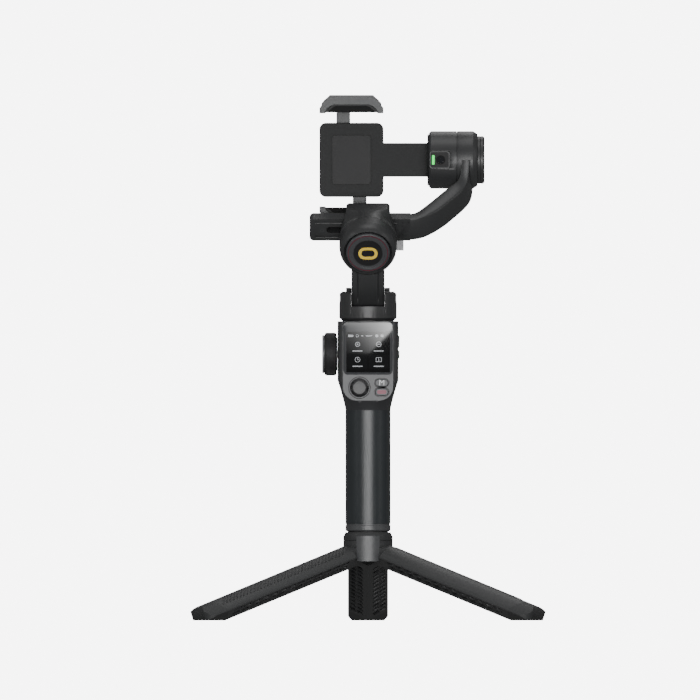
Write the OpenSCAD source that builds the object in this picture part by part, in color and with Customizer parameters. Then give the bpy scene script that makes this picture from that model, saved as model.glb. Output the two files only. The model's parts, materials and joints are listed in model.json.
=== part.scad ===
// Folding three-axis phone gimbal on a folding table tripod.
// Origin: on the ground, under the axis of the handle. X right, Y away from the user, Z up.

/* [Tripod] */
// Diameter of the three legs folded together
legs_d = 37.2; // [34.2:0.5:40.2]
// Width of a leg across its edges
leg_w = 30.8; // [28.8:0.2:31.6]
// Length of a leg from its pin to where its keel meets the ground
heel_len = 125.7; // [110.7:1:149.7]
// Length of a leg past that point
tip_len = 23.7; // [20.7:1:29.7]
// Slope of the open legs below level, in degrees
leg_slope = 19.7; // [16.7:1:24.7]
// Distance of the leg pins from the axis
pin_circle_r = 10; // [9.4:0.1:10.6]
// Radius of the round end of a leg at its pin
knuckle_r = 3.1; // [2.6:0.1:3.3]
// Radius of a leg pin
leg_pin_r = 1.25; // [1:0.05:1.5]
// Height of the hub above the legs
hub_h = 11.3; // [10:0.1:14]
// Diameter of the hub
hub_d = 36.8; // [36.4:0.1:40]
// Depth of the posts under the hub
post_h = 11.6; // [9:0.1:12.4]
// Pitch of the moulded cells under a leg
cell_pitch = 8.4; // [6:0.2:10]
// Length of the rubber foot of a leg
foot_len = 14; // [10:1:20]

/* [Handle] */
// Diameter of the grip
grip_d = 34.6; // [32.6:0.2:38]
// Height of the end ring of the handle
end_ring_h = 5.8; // [4.5:0.1:8]
// Length of the grip sleeve
grip_len = 87.2; // [80:0.2:110]
// Wall of the grip sleeve
grip_wall = 2.4; // [1.6:0.1:3]
// Height of the control head
head_h = 68.4; // [66:0.1:74]
// Width of the control head
head_w = 46.8; // [45.4:0.1:50]
// Distance from the handle's axis to the front of the control head
head_front = 21.6; // [20.6:0.1:23]
// Distance from the handle's axis to the back of the control head
head_back = 22; // [21:0.1:23.5]
// Height of the part of the head that tapers to the grip
taper_h = 23; // [18:0.5:26]
// Wall of the head shells
shell_wall = 3; // [2.4:0.1:3.4]

/* [Controls] */
// Width of the control panel
panel_w = 38.7; // [37.6:0.1:40]
// Height of the control panel
panel_h = 60.6; // [59:0.1:61]
// Height of the screen glass
glass_h = 40.7; // [38:0.1:41.5]
// Width of the lit display
display_w = 30.7; // [26:0.1:33]
// Height of the lit display
display_h = 30; // [26:0.1:33]
// Diameter of the joystick's cap
stick_d = 11.6; // [10:0.1:12.2]
// Length of the oval buttons
button_w = 10; // [8:0.1:11]
// Height of the oval buttons
button_h = 5.6; // [4.6:0.1:6]
// Diameter of the focus wheel
wheel_d = 33; // [28:0.5:36]
// Width of the focus wheel's tyre
tyre_w = 9.2; // [7:0.1:12]
// Width of the trigger
trigger_w = 12.6; // [10:0.2:14]

/* [Gimbal arm] */
// Diameter of the three motors
motor_d = 44.2; // [42.8:0.1:45.4]
// Height of the pan housing
pan_h = 22.3; // [21.4:0.1:23]
// Width of the folding arm
arm_w = 25.4; // [22:0.1:27]
// Thickness of the folding arm
arm_t = 11.4; // [10:0.2:13]
// Distance from the fold pin to the roll axis
arm_len = 46.6; // [45.6:0.1:54]
// Forward lean of the folding arm, in degrees
arm_lean = 30; // [26:1:33]
// Radius of the fold pin
fold_pin_r = 2.5; // [1.8:0.1:3]
// Width of the carriage that holds the slide bar
carriage_w = 33.6; // [30:0.2:35]

/* [Slide bar] */
// Length of the slide bar to the left of the roll axis
bar_left = 44.9; // [43:0.1:56]
// Length of the slide bar to the right of the roll axis
bar_right = 32.6; // [31:0.1:37]
// Height of the slide bar
bar_h = 19; // [17:0.1:20]
// Thickness of the slide bar
bar_t = 9.6; // [8:0.1:11]
// Height of the slot for the clamp bolt
slot_h = 5.4; // [4.8:0.1:6.4]
// Reach of the side arm from the slide bar to the tilt motor's seam
arm_reach = 35.8; // [34:0.1:38]
// Height of the tilt axis above the middle of the slide bar's front
tilt_rise = 53.8; // [52:0.1:60]
// Distance of the tilt axis behind the handle's axis
tilt_back = 43; // [41.6:0.1:47]

/* [Phone clamp] */
// Width of the phone in the clamp
phone_w = 76.7; // [70:0.1:84]
// Thickness of the phone in the clamp
phone_t = 8.25; // [7:0.05:10]
// Width of the jaws
jaw_w = 49.2; // [46:0.2:56]
// Height of a jaw above the phone
jaw_h = 11.5; // [10:0.1:14]
// Distance of the jaws' middle to the left of the handle's axis
jaw_offset = 12.7; // [8:0.1:16]
// Thickness of the clamp's back
clamp_t = 8; // [7:0.1:10]

/* [Hidden] */

// Facets of round pieces and of each corner of a lofted ring
$fn = 96;
corner_steps = 9;
// Overrun of every cut
cut = 1;
// Running clearance of a shaft, clearance of a moving piece and gap between moving housings
run_gap = 0.05;
slide_gap = 0.25;
seam_gap = 0.4;

// Tripod: places worked out from the legs
leg_azimuths = [210, -30, 90];
leg_gap = 0.3;
leg_r = legs_d / 2;
leg_len = heel_len + tip_len;
pin_z = heel_len * sin(leg_slope) + pin_circle_r * cos(leg_slope);
hub_gap = 1.6;
hub_z = pin_z + knuckle_r + hub_gap;
hub_top_z = hub_z + hub_h;
hub_chamfer = 2.3;
// Line round the hub, and the pads that run down from it between the legs
hub_line_w = 0.6;
hub_line_d = 0.4;
hub_line_drop = 6.2;
hub_line_z = hub_top_z - hub_line_drop;
pad_out = 0.6;
pad_drop = 2.7;
pad_step_h = 2.7;
pad_step_d = 1.4;
pad_r = hub_d / 2 + pad_out;
washer_t = 0.7;
washer_lip = 1.8;
// Half the width of a leg between the hub's posts, and how far down it is that narrow
root_share = 0.57;
root_half_w = leg_r * root_share;
slot_half_w = root_half_w + leg_gap;
post_down = post_h - knuckle_r - hub_gap;
post_out = sqrt(pad_r * pad_r - slot_half_w * slot_half_w) - pin_circle_r;
root_len = sqrt(post_down * post_down + post_out * post_out) + 2 * leg_gap;
pin_grip = 2.3;
leg_pin_half = root_half_w + pin_grip;
// Tip: radius of the toe where it leaves the ground, its place, and the radii above it and in plan
toe_r = 4.5;
toe_s = leg_len - toe_r;
toe_x = (toe_r - pin_z + toe_s * sin(leg_slope)) / cos(leg_slope);
tip_r = leg_r - pin_circle_r - toe_x;
tip_plan_r = 9;
// Moulded cells: rows on each flat face, as shares of the leg's radius
cell_start_shares = [0.25, 0.58];
cell_w_share = 0.27;
cell_depth = 2.4;
cell_wall = 2;
cell_slant = 16;
cell_start = 5;
cell_first = root_len + cell_start;

// Handle: heights from the ground
base_z = hub_top_z + washer_t;
sleeve_z = base_z + end_ring_h;
head_z = sleeve_z + grip_len;
head_top_z = head_z + head_h;
grip_r = grip_d / 2;
core_r = grip_r - grip_wall;
end_chamfer = 0.9;
ring_groove = 0.4;
ring_groove_h = 1.2;
spigot_h = 6;
stud_r = 3.175;
stud_len = 9;
insert_r = 6;
insert_h = 10;
cell_r = 9.25;
cell_len = 65;
holder_wall_top = 3;

// Control head
front_taper_h = 10.3;
front_corner = 6.5;
back_corner = 14;
taper_power = 1.2;
taper_rings = 8;
split_y = 6;
cavity_floor = 8;
cavity_top = 4;
panel_t = 2;
panel_proud = 0.6;
glass_low_corner = 1;
panel_corner = 3.8;
panel_low_corner = 10.7;
panel_top_gap = 0.4;
glass_t = 1.2;
glass_side = 0.3;
display_t = 0.5;
display_up = 2.4;
controls_y = -(head_front + panel_proud);
panel_top_z = head_top_z - panel_top_gap;
panel_low_z = panel_top_z - panel_h;
glass_low_z = panel_top_z - glass_h;
stick_left = 6.6;
stick_up = 9.9;
stick_gap = 1.5;
stick_x = -stick_left;
stick_z = panel_low_z + stick_up;
stick_hole_r = stick_d / 2 + stick_gap;
stick_pivot_depth = 5.6;
stick_stem_r = 1.8;
stick_ring_r = 5.4;
stick_ring_wall = 1.8;
stick_ring_t = 2.6;
stick_pin_r = 0.7;
stick_trunnion_r = 0.9;
stick_cap_t = 2;
stick_dish_share = 0.8;
stick_lift = 2.4;
stick_well_r = 8.2;
stick_well_wall = 1.5;
stick_well_d = 3.2;
button_x = 10.6;
mode_up = 13.6;
record_up = 6.6;
mode_z = panel_low_z + mode_up;
record_z = panel_low_z + record_up;
button_proud = 0.9;
button_t = 3;
button_travel = 0.8;

// Side controls: heights above the glass's lower edge
wheel_up = 15.8;
wheel_z = glass_low_z + wheel_up;
wheel_rim_t = 1.9;
wheel_rim_drop = 1.9;
wheel_core_drop = 3.3;
wheel_foot_t = 0.5;
wheel_foot_inset = 4;
wheel_foot_r = wheel_d / 2 - wheel_foot_inset;
wheel_dish_shares = [0.75, 0.7];
spindle_r = 3;
spindle_len = 6;
power_len = 9.2;
power_up = 25.4;
power_z = glass_low_z + power_up;
side_len = 6.1;
side_up = 15.4;
side_z = glass_low_z + side_up;
side_button_w = 4.4;
side_button_t = 3.4;
side_proud = 0.8;
port_len = 9;
port_w = 3.2;
port_depth = 6.5;
port_wall = 0.5;
port_up = 3;
port_z = glass_low_z + port_up;
port_front = 4;
port_y = -port_front;

// Trigger: a blade hung on a pin across the back of the head
trigger_pin_r = 1;
trigger_pin_end = 1.8;
trigger_inset = 4.4;
trigger_up = 7.2;
trigger_pin_y = head_back - trigger_inset;
trigger_pin_z = glass_low_z + trigger_up;
trigger_h = 22;
trigger_t = 3.2;
trigger_reach = 5.4;
trigger_hub_r = 2.6;
trigger_curve_r = 26;
trigger_mid_share = 0.56;
trigger_slot_d = 9;
trigger_box_wall = 2.4;

// Inside the head
board_t = 1.6;
board_y = -8;
board_h = 38;
stator_h = 8;
stator_inset = 7.9;
stator_r = motor_d / 2 - stator_inset;
pan_stator_inset = 9.2;
pan_stator_r = head_w / 2 - pan_stator_inset;
shaft_r = 4;
screw_head_r = 1.9;
screw_head_t = 1.6;
screw_r = 1;
screw_len = 18;
screw_y = 16.8;
screw_inset = 5.8;
upper_screw_x = head_w / 2 - screw_inset;
lower_screw_x = 11.5;
screw_boss_r = 2.9;
screw_boss_len = 9;

// Pan housing and its fold clevis
pan_gap = 0.45;
pan_z = head_top_z + pan_gap;
pan_top_z = pan_z + pan_h;
pan_chamfer = 2.2;
fold_drop = 5.2;
fold_z = pan_top_z - fold_drop;
ear_r = 8.2;
ear_step = 4;
knuckle_gap = 0.4;
lip_drop = 6.3;
lip_z = fold_z - lip_drop;
arm_knuckle_r = 7.5;
cap_r = 4.2;
cap_t = 1.6;
cap_inset = 0.5;
pan_shaft_up = 6;
pan_shaft_down = 13;

// Roll frame: origin at the middle of the front cap, y back and up the roll axis
roll_seam = 17.7;
roll_axis_s = roll_seam - leg_gap - arm_t / 2;
roll_y = -roll_axis_s * cos(arm_lean) - arm_len * sin(arm_lean);
roll_z = fold_z - roll_axis_s * sin(arm_lean) + arm_len * cos(arm_lean);
motor_r = motor_d / 2;
// Front bevel of the roll motor: places along the axis and drops below the full radius
roll_bevel_places = [0.5, 3, 6, 10];
roll_bevel_drops = [3.4, 1.4, 0.4, 0];
roll_cap_inset = 5.2;
roll_cap_r = motor_r - roll_cap_inset;
roll_cap_t = 3;
roll_cap_gap = 0.5;
roll_dish_share = 0.79;
roll_dish_d = 0.5;
roll_back_wall = 3;
roll_shaft_front = 2.5;
roll_shaft_in = 9;
stator_gap = 0.3;
cavity_r = stator_r + stator_gap;
cover_w = 16.8;
cover_t = 1.4;
cover_sink = 1;
cover_margin = 1.5;

// Carriage and slide bar, in the roll frame
bar_s = 36;
bar_gap = 0.3;
carriage_back = 3.8;
carriage_taper = 1;
carriage_end_s = bar_s + bar_t + carriage_back;
// Rings of the carriage: place between the motor seam and the bar's front, then to the back,
// with half width and half height between those of the motor and of the sleeve
neck_place_shares = [0, 0.36, 0.68, 0.87, 1];
neck_w_shares = [0, 0.03, 0.2, 0.64, 0.94];
neck_h_shares = [0, 0.14, 0.38, 0.52, 0.62];
sleeve_place_shares = [0.3, 0.7, 0.93, 1];
sleeve_w_shares = [1, 1, 1, 1.15];
sleeve_h_shares = [0.8, 1, 1.05, 1.25];
carriage_corner = 3;
carriage_wall_h = 7.4;
carriage_half_h = bar_h / 2 + carriage_wall_h;
bar_corner = 3.5;
track_left = 4.2;
track_right = 10.2;
groove_w = 2;
groove_d = 0.8;
groove_share = 0.66;
slot_left = 13;
slot_right = 16.2;
bolt_r = 2;
bolt_head_r = 3.8;
bolt_head_t = 1.4;
lever_gap = 0.3;
lever_t = 3;
lever_hub_r = 5.6;
lever_w = 7;
lever_x = 24.6;
tab_w = 5.6;
tab_drop = 26.4;

// Side arm: stations from the slide bar to the tilt motor
tilt_y = tilt_back;
tilt_z = roll_z + bar_s * sin(arm_lean) + tilt_rise;
seam_x = bar_right + arm_reach;
tilt_outer_w = 15.7;
tilt_bevel = 3.4;
tilt_bevel_drop = 2.2;
tilt_cap_w = 5.4;
tilt_cap_inset = 3.8;
tilt_cap_r = motor_r - tilt_cap_inset;
tilt_line_shares = [0.35, 0.4, 0.45];
tilt_line_d = 0.4;
tilt_cap_chamfer = 1.2;
tilt_cap_sink = 3;
tilt_back_wall = 3;
// Places of the front crease along the reach, the rise and the recess to the motor's front
crease_x_shares = [0, 0.06, 0.16, 0.32, 0.47, 0.72, 0.85, 0.93, 0.97, 1];
crease_z_shares = [0, 0.003, 0.02, 0.085, 0.165, 0.36, 0.47, 0.58, 0.72, 1];
crease_y_shares = [0, 0.01, 0.05, 0.17, 0.33, 0.64, 0.8, 0.9, 0.96, 1];
// Direction of the arm in the front view and turn of its faces, in degrees
arm_dirs = [0, 4, 14, 27, 34, 39, 45, 62, 80, 90];
arm_turns = [30, 31, 35, 43, 49, 53, 60, 72, 80, 84];
// Face widths as shares of the slide bar's height and thickness
dark_shares = [1, 1, 1.01, 1.05, 1.08, 1.1, 1.12, 1.06, 0.98, 0.88];
light_shares = [1, 1.02, 1.08, 1.16, 1.22, 1.2, 1.05, 0.85, 0.72, 0.72];
side_arm_corner = 1.6;
// Place of the middle point of a cut corner
turn_share = 0.3;
arm_end_x = 10.2;
arm_front_gap = 1.2;

// Tilt rotor and clamp
sensor_w = 15.1;
sensor_h = 13;
sensor_corner = 2.4;
sensor_depth = 3;
sensor_side = 0.7;
lens_r = 3;
lens_t = 1.2;
lens_x = 9;
lens_sink_share = 0.2;
neck_t = 1.2;
neck_inset = 2.4;
neck_r = motor_r - neck_inset;
tilt_inner_w = 21.2;
tilt_inner_chamfer = 1.6;
tilt_left_x = seam_x - seam_gap - tilt_inner_w;
tilt_shaft_in = 9;
clamp_arm_h = 26;
clamp_block_h = 57;
clamp_block_corner = 5;
back_pad_t = 0.8;
back_pad_w = 30;
back_pad_h = 38;
tongue_w = 10.6;
tongue_t = 3.4;
tongue_in = 24;
tongue_space = 2;
jaw_close = 9.35;
jaw_lip = 2.6;
jaw_lip_t = 3.2;
pad_h = 3.85;
pad_ridge = 0.7;
pad_ridge_w = 1.2;
phone_front_y = tilt_y - phone_t;
clamp_front_y = tilt_y + back_pad_t;
clamp_back_y = clamp_front_y + clamp_t;
jaw_outline_shares = [
    [0.5, 0], [0.5, 0.3], [0.472, 0.42], [0.462, 0.57], [0.422, 0.735], [0.366, 0.9], [0.34, 1]
];
arch_outline_shares = [[0.402, 0], [0.402, 0.25], [0.38, 0.5], [0.334, 0.8], [0.273, 1]];

// Flat shapes

// Slot shape of a length and a width, its length along x
module stadium(length, width) {
    square([length - width, width], center = true);
    for (side = [-1, 1]) translate([side * (length - width) / 2, 0]) circle(d = width);
}

// Plate centred on x, standing on y = 0, with one corner radius above and one below
module plate_2d(width, height, top_r, low_r) {
    translate([-width / 2, low_r]) square([width, height - top_r - low_r]);
    translate([-width / 2 + top_r, height - top_r - cut]) square([width - 2 * top_r, top_r + cut]);
    translate([-width / 2 + low_r, 0]) square([width - 2 * low_r, low_r + cut]);
    for (side = [-1, 1]) {
        translate([side * (width / 2 - top_r), height - top_r]) circle(r = top_r);
        translate([side * (width / 2 - low_r), low_r]) circle(r = low_r);
    }
}

// Lofted solids

// Closed skin over rings that have the same number of points, each ring clockwise towards the next
module skin(rings) {
    count = len(rings[0]);
    last = (len(rings) - 1) * count;
    polyhedron(
        points = [for (ring = rings) for (point = ring) point],
        faces = concat(
            [[for (i = [count - 1:-1:0]) i]],
            [for (k = [0:len(rings) - 2]) for (i = [0:count - 1]) let (j = (i + 1) % count, a = k * count)
                for (face = [[a + i, a + j, a + count + j], [a + i, a + count + j, a + count + i]]) face],
            [[for (i = [0:count - 1]) last + i]]
        ),
        convexity = 6
    );
}

// Corner arc of a ring, as points about a centre
function arc_points(centre, r, from) = [
    for (i = [0:corner_steps - 1]) let (t = from + 90 * (i + 0.5) / corner_steps)
        centre + r * [cos(t), sin(t)]
];

// Rounded outline: half width, back and front reach and the corner radii of each
function outline(half_w, back, front, back_r, front_r) = concat(
    arc_points([half_w - back_r, back - back_r], back_r, 0),
    arc_points([-half_w + back_r, back - back_r], back_r, 90),
    arc_points([-half_w + front_r, -front + front_r], front_r, 180),
    arc_points([half_w - front_r, -front + front_r], front_r, 270)
);

function mix(a, b, share) = a + (b - a) * share;
function smooth(share) = let (t = min(1, max(0, share))) t * t * (3 - 2 * t);

// Cylinders along the other axes
module x_cylinder(r, from, to) { translate([from, 0, 0]) rotate([0, 90, 0]) cylinder(r = r, h = to - from); }
module y_cylinder(r, from, to) { translate([0, from, 0]) rotate([-90, 0, 0]) cylinder(r = r, h = to - from); }
// Solid of revolution about y, from a profile of [radius, place along y]
module y_revolve(profile) { rotate([-90, 0, 0]) rotate_extrude() polygon(profile); }
module x_revolve(profile) { rotate([0, 90, 0]) rotate_extrude() polygon(profile); }

// Tripod

// Outer block of the hub between the handle and the legs
module hub_disc() {
    rotate_extrude() polygon([
        [0, hub_z], [hub_d / 2, hub_z],
        [hub_d / 2, hub_line_z - hub_line_w], [hub_d / 2 - hub_line_d, hub_line_z - hub_line_w],
        [hub_d / 2 - hub_line_d, hub_line_z], [hub_d / 2, hub_line_z],
        [hub_d / 2, hub_top_z - hub_chamfer], [grip_r, hub_top_z], [0, hub_top_z]
    ]);
}

module hub_body() color("#2b2c2e") difference() {
    union() {
        hub_disc();
        difference() {
            rotate_extrude() polygon([
                [0, hub_z - post_h], [pad_r - pad_step_d, hub_z - post_h],
                [pad_r, hub_z - post_h + pad_step_h], [pad_r, hub_top_z - pad_drop], [0, hub_top_z - pad_drop]
            ]);
            for (az = leg_azimuths) rotate([0, 0, az])
                translate([0, -slot_half_w, hub_z - post_h - cut])
                    cube([hub_d, 2 * slot_half_w, post_h + hub_h + 2 * cut]);
        }
    }
    translate([0, 0, hub_top_z - stud_len]) cylinder(r = stud_r, h = stud_len + cut);
    leg_pin_solids();
}

module hub_washer() color("#141414") translate([0, 0, hub_top_z]) difference() {
    cylinder(r = grip_r - washer_lip, h = washer_t);
    translate([0, 0, -cut]) cylinder(r = stud_r + slide_gap, h = washer_t + 2 * cut);
}

module hub_stud() color("#b8b8b8") translate([0, 0, hub_top_z - stud_len])
    cylinder(r = stud_r, h = 2 * stud_len);

module leg_pin_solids() {
    for (az = leg_azimuths) rotate([0, 0, az])
        translate([pin_circle_r, -leg_pin_half, pin_z]) rotate([-90, 0, 0])
            cylinder(r = leg_pin_r, h = 2 * leg_pin_half);
}

module leg_pins() color("#9a9a9a") leg_pin_solids();

// Leg hanging straight down from its pin, a third of a round bar: x outward, z up
module leg_bar() {
    intersection() {
        translate([-pin_circle_r, 0, -leg_len - cut]) linear_extrude(leg_len + knuckle_r + 2 * cut)
            intersection() {
                circle(r = leg_r);
                translate([2 * leg_gap, 0]) polygon([
                    [0, 0], [legs_d * cos(60), -legs_d * sin(60)],
                    [legs_d, 0], [legs_d * cos(60), legs_d * sin(60)]
                ]);
            }
        rotate([90, 0, 0]) translate([0, 0, -legs_d]) linear_extrude(2 * legs_d) leg_side_2d();
        rotate([0, 90, 0]) translate([0, 0, -legs_d]) linear_extrude(2 * legs_d) leg_plan_2d();
    }
}

// Side view of a leg: round at the pin, level on the ridge, flat where it stands, round at the tip
module leg_side_2d() {
    circle(r = knuckle_r);
    translate([-knuckle_r, -knuckle_r - cut]) square([leg_r - pin_circle_r + knuckle_r, knuckle_r + cut]);
    translate([-pin_circle_r, -heel_len]) square([leg_r, heel_len - knuckle_r]);
    polygon([
        [-pin_circle_r, -heel_len + cut], [-pin_circle_r, -heel_len],
        [toe_x - toe_r * cos(leg_slope), -toe_s - toe_r * sin(leg_slope)], [toe_x, -toe_s],
        [toe_x, -leg_len + tip_r], [toe_x + tip_r, -leg_len + tip_r], [toe_x + tip_r, -heel_len + cut]
    ]);
    translate([toe_x, -toe_s]) circle(r = toe_r);
    intersection() {
        translate([toe_x, -leg_len + tip_r]) circle(r = tip_r);
        translate([toe_x, -leg_len - cut]) square([tip_r + cut, tip_r + 2 * cut]);
    }
}

// Plan of a leg along its length: narrow between the posts, rounded at the tip
module leg_plan_2d() {
    translate([-knuckle_r - cut, -root_half_w]) square([root_len + knuckle_r + 2 * cut, 2 * root_half_w]);
    translate([root_len, -leg_w / 2]) square([leg_len - tip_plan_r - root_len, leg_w]);
    translate([root_len, tip_plan_r - leg_w / 2]) square([leg_len - root_len, leg_w - 2 * tip_plan_r]);
    for (side = [-1, 1]) translate([leg_len - tip_plan_r, side * (leg_w / 2 - tip_plan_r)])
        circle(r = tip_plan_r);
}

// Rows of slanted cells in the two flat faces
module leg_cells() {
    rows = floor((heel_len - cell_first - cell_wall) / cell_pitch);
    for (side = [-1, 1]) for (row = [0:rows - 1]) for (start = cell_start_shares)
        translate([-pin_circle_r + 2 * leg_gap, 0, -cell_first - (row + 0.5) * cell_pitch])
            rotate([0, 0, side * 60]) translate([leg_r * (start + cell_w_share / 2), 0, 0])
                rotate([0, side * cell_slant, 0])
                    cube([leg_r * cell_w_share, 2 * cell_depth, cell_pitch - cell_wall], center = true);
}

module open_leg(azimuth) {
    rotate([0, 0, azimuth]) translate([pin_circle_r, 0, pin_z]) rotate([0, leg_slope - 90, 0]) children();
}

module leg_body(azimuth) color("#333436") difference() {
    open_leg(azimuth) difference() {
        leg_bar();
        leg_cells();
        foot_space();
        translate([0, -legs_d, 0]) rotate([-90, 0, 0]) cylinder(r = leg_pin_r + run_gap, h = 2 * legs_d);
    }
    hub_room();
}

// Part of a leg that its rubber foot takes, split off along a slant from the keel's heel
module foot_space() {
    top_x = leg_r - pin_circle_r + cut;
    rotate([90, 0, 0]) translate([0, 0, -legs_d]) linear_extrude(2 * legs_d) polygon([
        [-pin_circle_r - cut, -heel_len + cut], [top_x, -leg_len + foot_len],
        [top_x, -leg_len - cut], [-pin_circle_r - cut, -leg_len - cut]
    ]);
}

module leg_foot(azimuth) color("#1b1b1c") open_leg(azimuth) intersection() {
    leg_bar();
    foot_space();
}

// Space that the hub takes, with its clearance
module hub_room() {
    translate([0, 0, hub_z - leg_gap]) cylinder(r = hub_d / 2 + 2 * leg_gap, h = hub_h + leg_gap);
}

module leg_front_left() leg_body(leg_azimuths[0]);
module leg_front_right() leg_body(leg_azimuths[1]);
module leg_rear() leg_body(leg_azimuths[2]);
module foot_front_left() leg_foot(leg_azimuths[0]);
module foot_front_right() leg_foot(leg_azimuths[1]);
module foot_rear() leg_foot(leg_azimuths[2]);

// Handle

module grip_end_ring() color("#232426") difference() {
    rotate_extrude() polygon([
        [insert_r, base_z], [grip_r - end_chamfer, base_z], [grip_r, base_z + end_chamfer],
        [grip_r, sleeve_z - ring_groove_h], [grip_r - ring_groove, sleeve_z - ring_groove_h],
        [grip_r - ring_groove, sleeve_z], [core_r, sleeve_z], [core_r, sleeve_z + spigot_h],
        [insert_r, sleeve_z + spigot_h]
    ]);
}

module thread_insert() color("#b08d45") translate([0, 0, base_z]) difference() {
    cylinder(r = insert_r, h = insert_h);
    translate([0, 0, -cut]) cylinder(r = stud_r + run_gap, h = insert_h + 2 * cut);
}

module grip_sleeve() color("#2a2c2f") translate([0, 0, sleeve_z]) difference() {
    cylinder(r = grip_r, h = grip_len);
    translate([0, 0, -cut]) cylinder(r = core_r, h = grip_len + 2 * cut);
}

module battery_holder() color("#5a5a5a") difference() {
    translate([0, 0, sleeve_z + spigot_h])
        cylinder(r = core_r - run_gap, h = head_z + cavity_floor - sleeve_z - spigot_h);
    translate([0, 0, battery_z()]) cylinder(r = cell_r + run_gap, h = head_h + grip_len);
}

function battery_z() = sleeve_z + spigot_h + holder_wall_top;

module battery_cell() color("#3f7fbf") translate([0, 0, battery_z()]) cylinder(r = cell_r, h = cell_len);

// Control head: rings from the round grip to the wide head
function head_ring(z) = let (
    side = pow(min(1, (z - head_z) / taper_h), taper_power),
    face = smooth((z - head_z) / front_taper_h),
    back = smooth((z - head_z) / taper_h)
) [for (p = outline(mix(grip_r, head_w / 2, side), mix(grip_r, head_back, back),
    mix(grip_r, head_front, face), mix(grip_r, back_corner, back), mix(grip_r, front_corner, side)))
    [p[0], p[1], z]];

module head_outer() {
    skin(concat(
        [head_ring(head_top_z)],
        [for (i = [taper_rings:-1:0]) head_ring(head_z + taper_h * i / taper_rings)]
    ));
}

// Cavity for the board and the pan motor, the recess of the panel and every hole
module head_cuts() {
    cavity_w = head_w - 2 * shell_wall - 2 * cut;
    translate([-cavity_w / 2, -head_front + shell_wall + panel_t, head_z + taper_h - cut])
        cube([
            cavity_w, head_front + head_back - 2 * shell_wall - panel_t,
            head_h - taper_h - cavity_top + cut
        ]);
    translate([0, 0, head_z - cut]) cylinder(r = core_r, h = cavity_floor + cut);
    translate([0, 0, head_z + cavity_floor / 2]) cylinder(r = cell_r, h = taper_h);
    translate([0, 0, head_top_z - cavity_top - cut]) cylinder(r = shaft_r + seam_gap, h = cavity_top + 2 * cut);
    panel_room();
    stick_well();
    for (z = [mode_z, record_z]) button_shape(z, slide_gap, panel_t + button_t + 2);
    at_wheel() x_cylinder(spindle_r + run_gap, -cut, spindle_len + shell_wall);
    side_stadium(power_z, power_len, slide_gap, 2 * cut);
    side_stadium(side_z, side_len, slide_gap, 2 * cut);
    port_shape(0);
}

module head_front_shell() color("#343538") difference() {
    union() {
        intersection() {
            difference() {
                head_outer();
                head_cuts();
            }
            translate([-head_w, -2 * head_front, head_z - cut])
                cube([2 * head_w, 2 * head_front + split_y, head_h + 2 * cut]);
        }
        at_stick() y_cylinder(stick_well_r + stick_well_wall, 0, stick_well_d + stick_well_wall);
        upper_screws() y_cylinder(screw_boss_r, split_y - screw_y - screw_boss_len, split_y - screw_y);
    }
    at_stick() y_cylinder(stick_well_r, -cut, stick_well_d);
    trunnion_end = stick_well_r + stick_well_wall + cut;
    at_stick() x_cylinder(stick_trunnion_r + run_gap, -trunnion_end, trunnion_end);
    screw_places() y_cylinder(screw_r, -screw_len, head_back);
}

module head_rear_shell() color("#2f3033") difference() {
    union() {
        intersection() {
            difference() {
                head_outer();
                head_cuts();
            }
            translate([-head_w, split_y, head_z - cut]) cube([2 * head_w, 2 * head_back, head_h + 2 * cut]);
        }
        trigger_box();
        upper_screws() y_cylinder(screw_boss_r, split_y - screw_y, -screw_head_t);
    }
    trigger_room();
    screw_places() y_cylinder(screw_head_r, -screw_head_t, head_back);
    screw_places() y_cylinder(screw_r, -screw_len, head_back);
    trigger_pin_solid();
}

// Panel, screen and their recess
module panel_2d(margin) {
    translate([0, -margin]) plate_2d(
        panel_w + 2 * margin, panel_h + 2 * margin, panel_corner + margin, panel_low_corner + margin
    );
}

module at_panel(depth) { translate([0, controls_y + depth, panel_low_z]) rotate([90, 0, 0]) children(); }

module panel_room() { at_panel(panel_t) linear_extrude(2 * panel_t) panel_2d(0); }

module control_panel() color("#6f7276") difference() {
    at_panel(panel_t) linear_extrude(panel_t) panel_2d(0);
    translate([-head_w / 2, controls_y - cut, glass_low_z])
        cube([head_w, glass_t + cut, panel_h]);
    display_shape(display_t);
    translate([stick_x, 0, stick_z]) y_cylinder(stick_hole_r, controls_y - cut, controls_y + panel_t + cut);
    for (z = [mode_z, record_z]) button_shape(z, slide_gap, panel_t + cut);
}

module screen_glass() color("#0c0d10") at_panel(glass_t) linear_extrude(glass_t) intersection() {
    panel_2d(-glass_side);
    translate([-head_w / 2, panel_h - glass_h]) plate_cut_2d();
}

// Lower edge of the glass, with its own corners
module plate_cut_2d() {
    translate([head_w / 2, 0])
        plate_2d(panel_w - 2 * glass_side, 2 * glass_h, glass_low_corner, panel_corner);
}

module display_shape(depth) {
    display_z = glass_low_z + (glass_h - display_h) / 2 + display_up / 2;
    translate([-display_w / 2, controls_y + glass_t, display_z]) cube([display_w, depth, display_h]);
}

module display_panel() color("#1a2430") display_shape(display_t);

// Joystick: a ring that turns on pins along x, and a stick that turns in it on pins along z
module at_stick() { translate([stick_x, controls_y + stick_pivot_depth, stick_z]) children(); }

module stick_well() { at_stick() y_cylinder(stick_well_r, -stick_pivot_depth - cut, stick_well_d); }

module stick_pivot() color("#4a4a4a") at_stick() difference() {
    union() {
        y_cylinder(stick_ring_r, -stick_ring_t / 2, stick_ring_t / 2);
        x_cylinder(stick_trunnion_r, -stick_well_r - stick_well_wall, stick_well_r + stick_well_wall);
    }
    y_cylinder(stick_ring_r - stick_ring_wall, -stick_ring_t, stick_ring_t);
    translate([0, 0, -stick_ring_r]) cylinder(r = stick_pin_r + run_gap, h = 2 * stick_ring_r);
}

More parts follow.
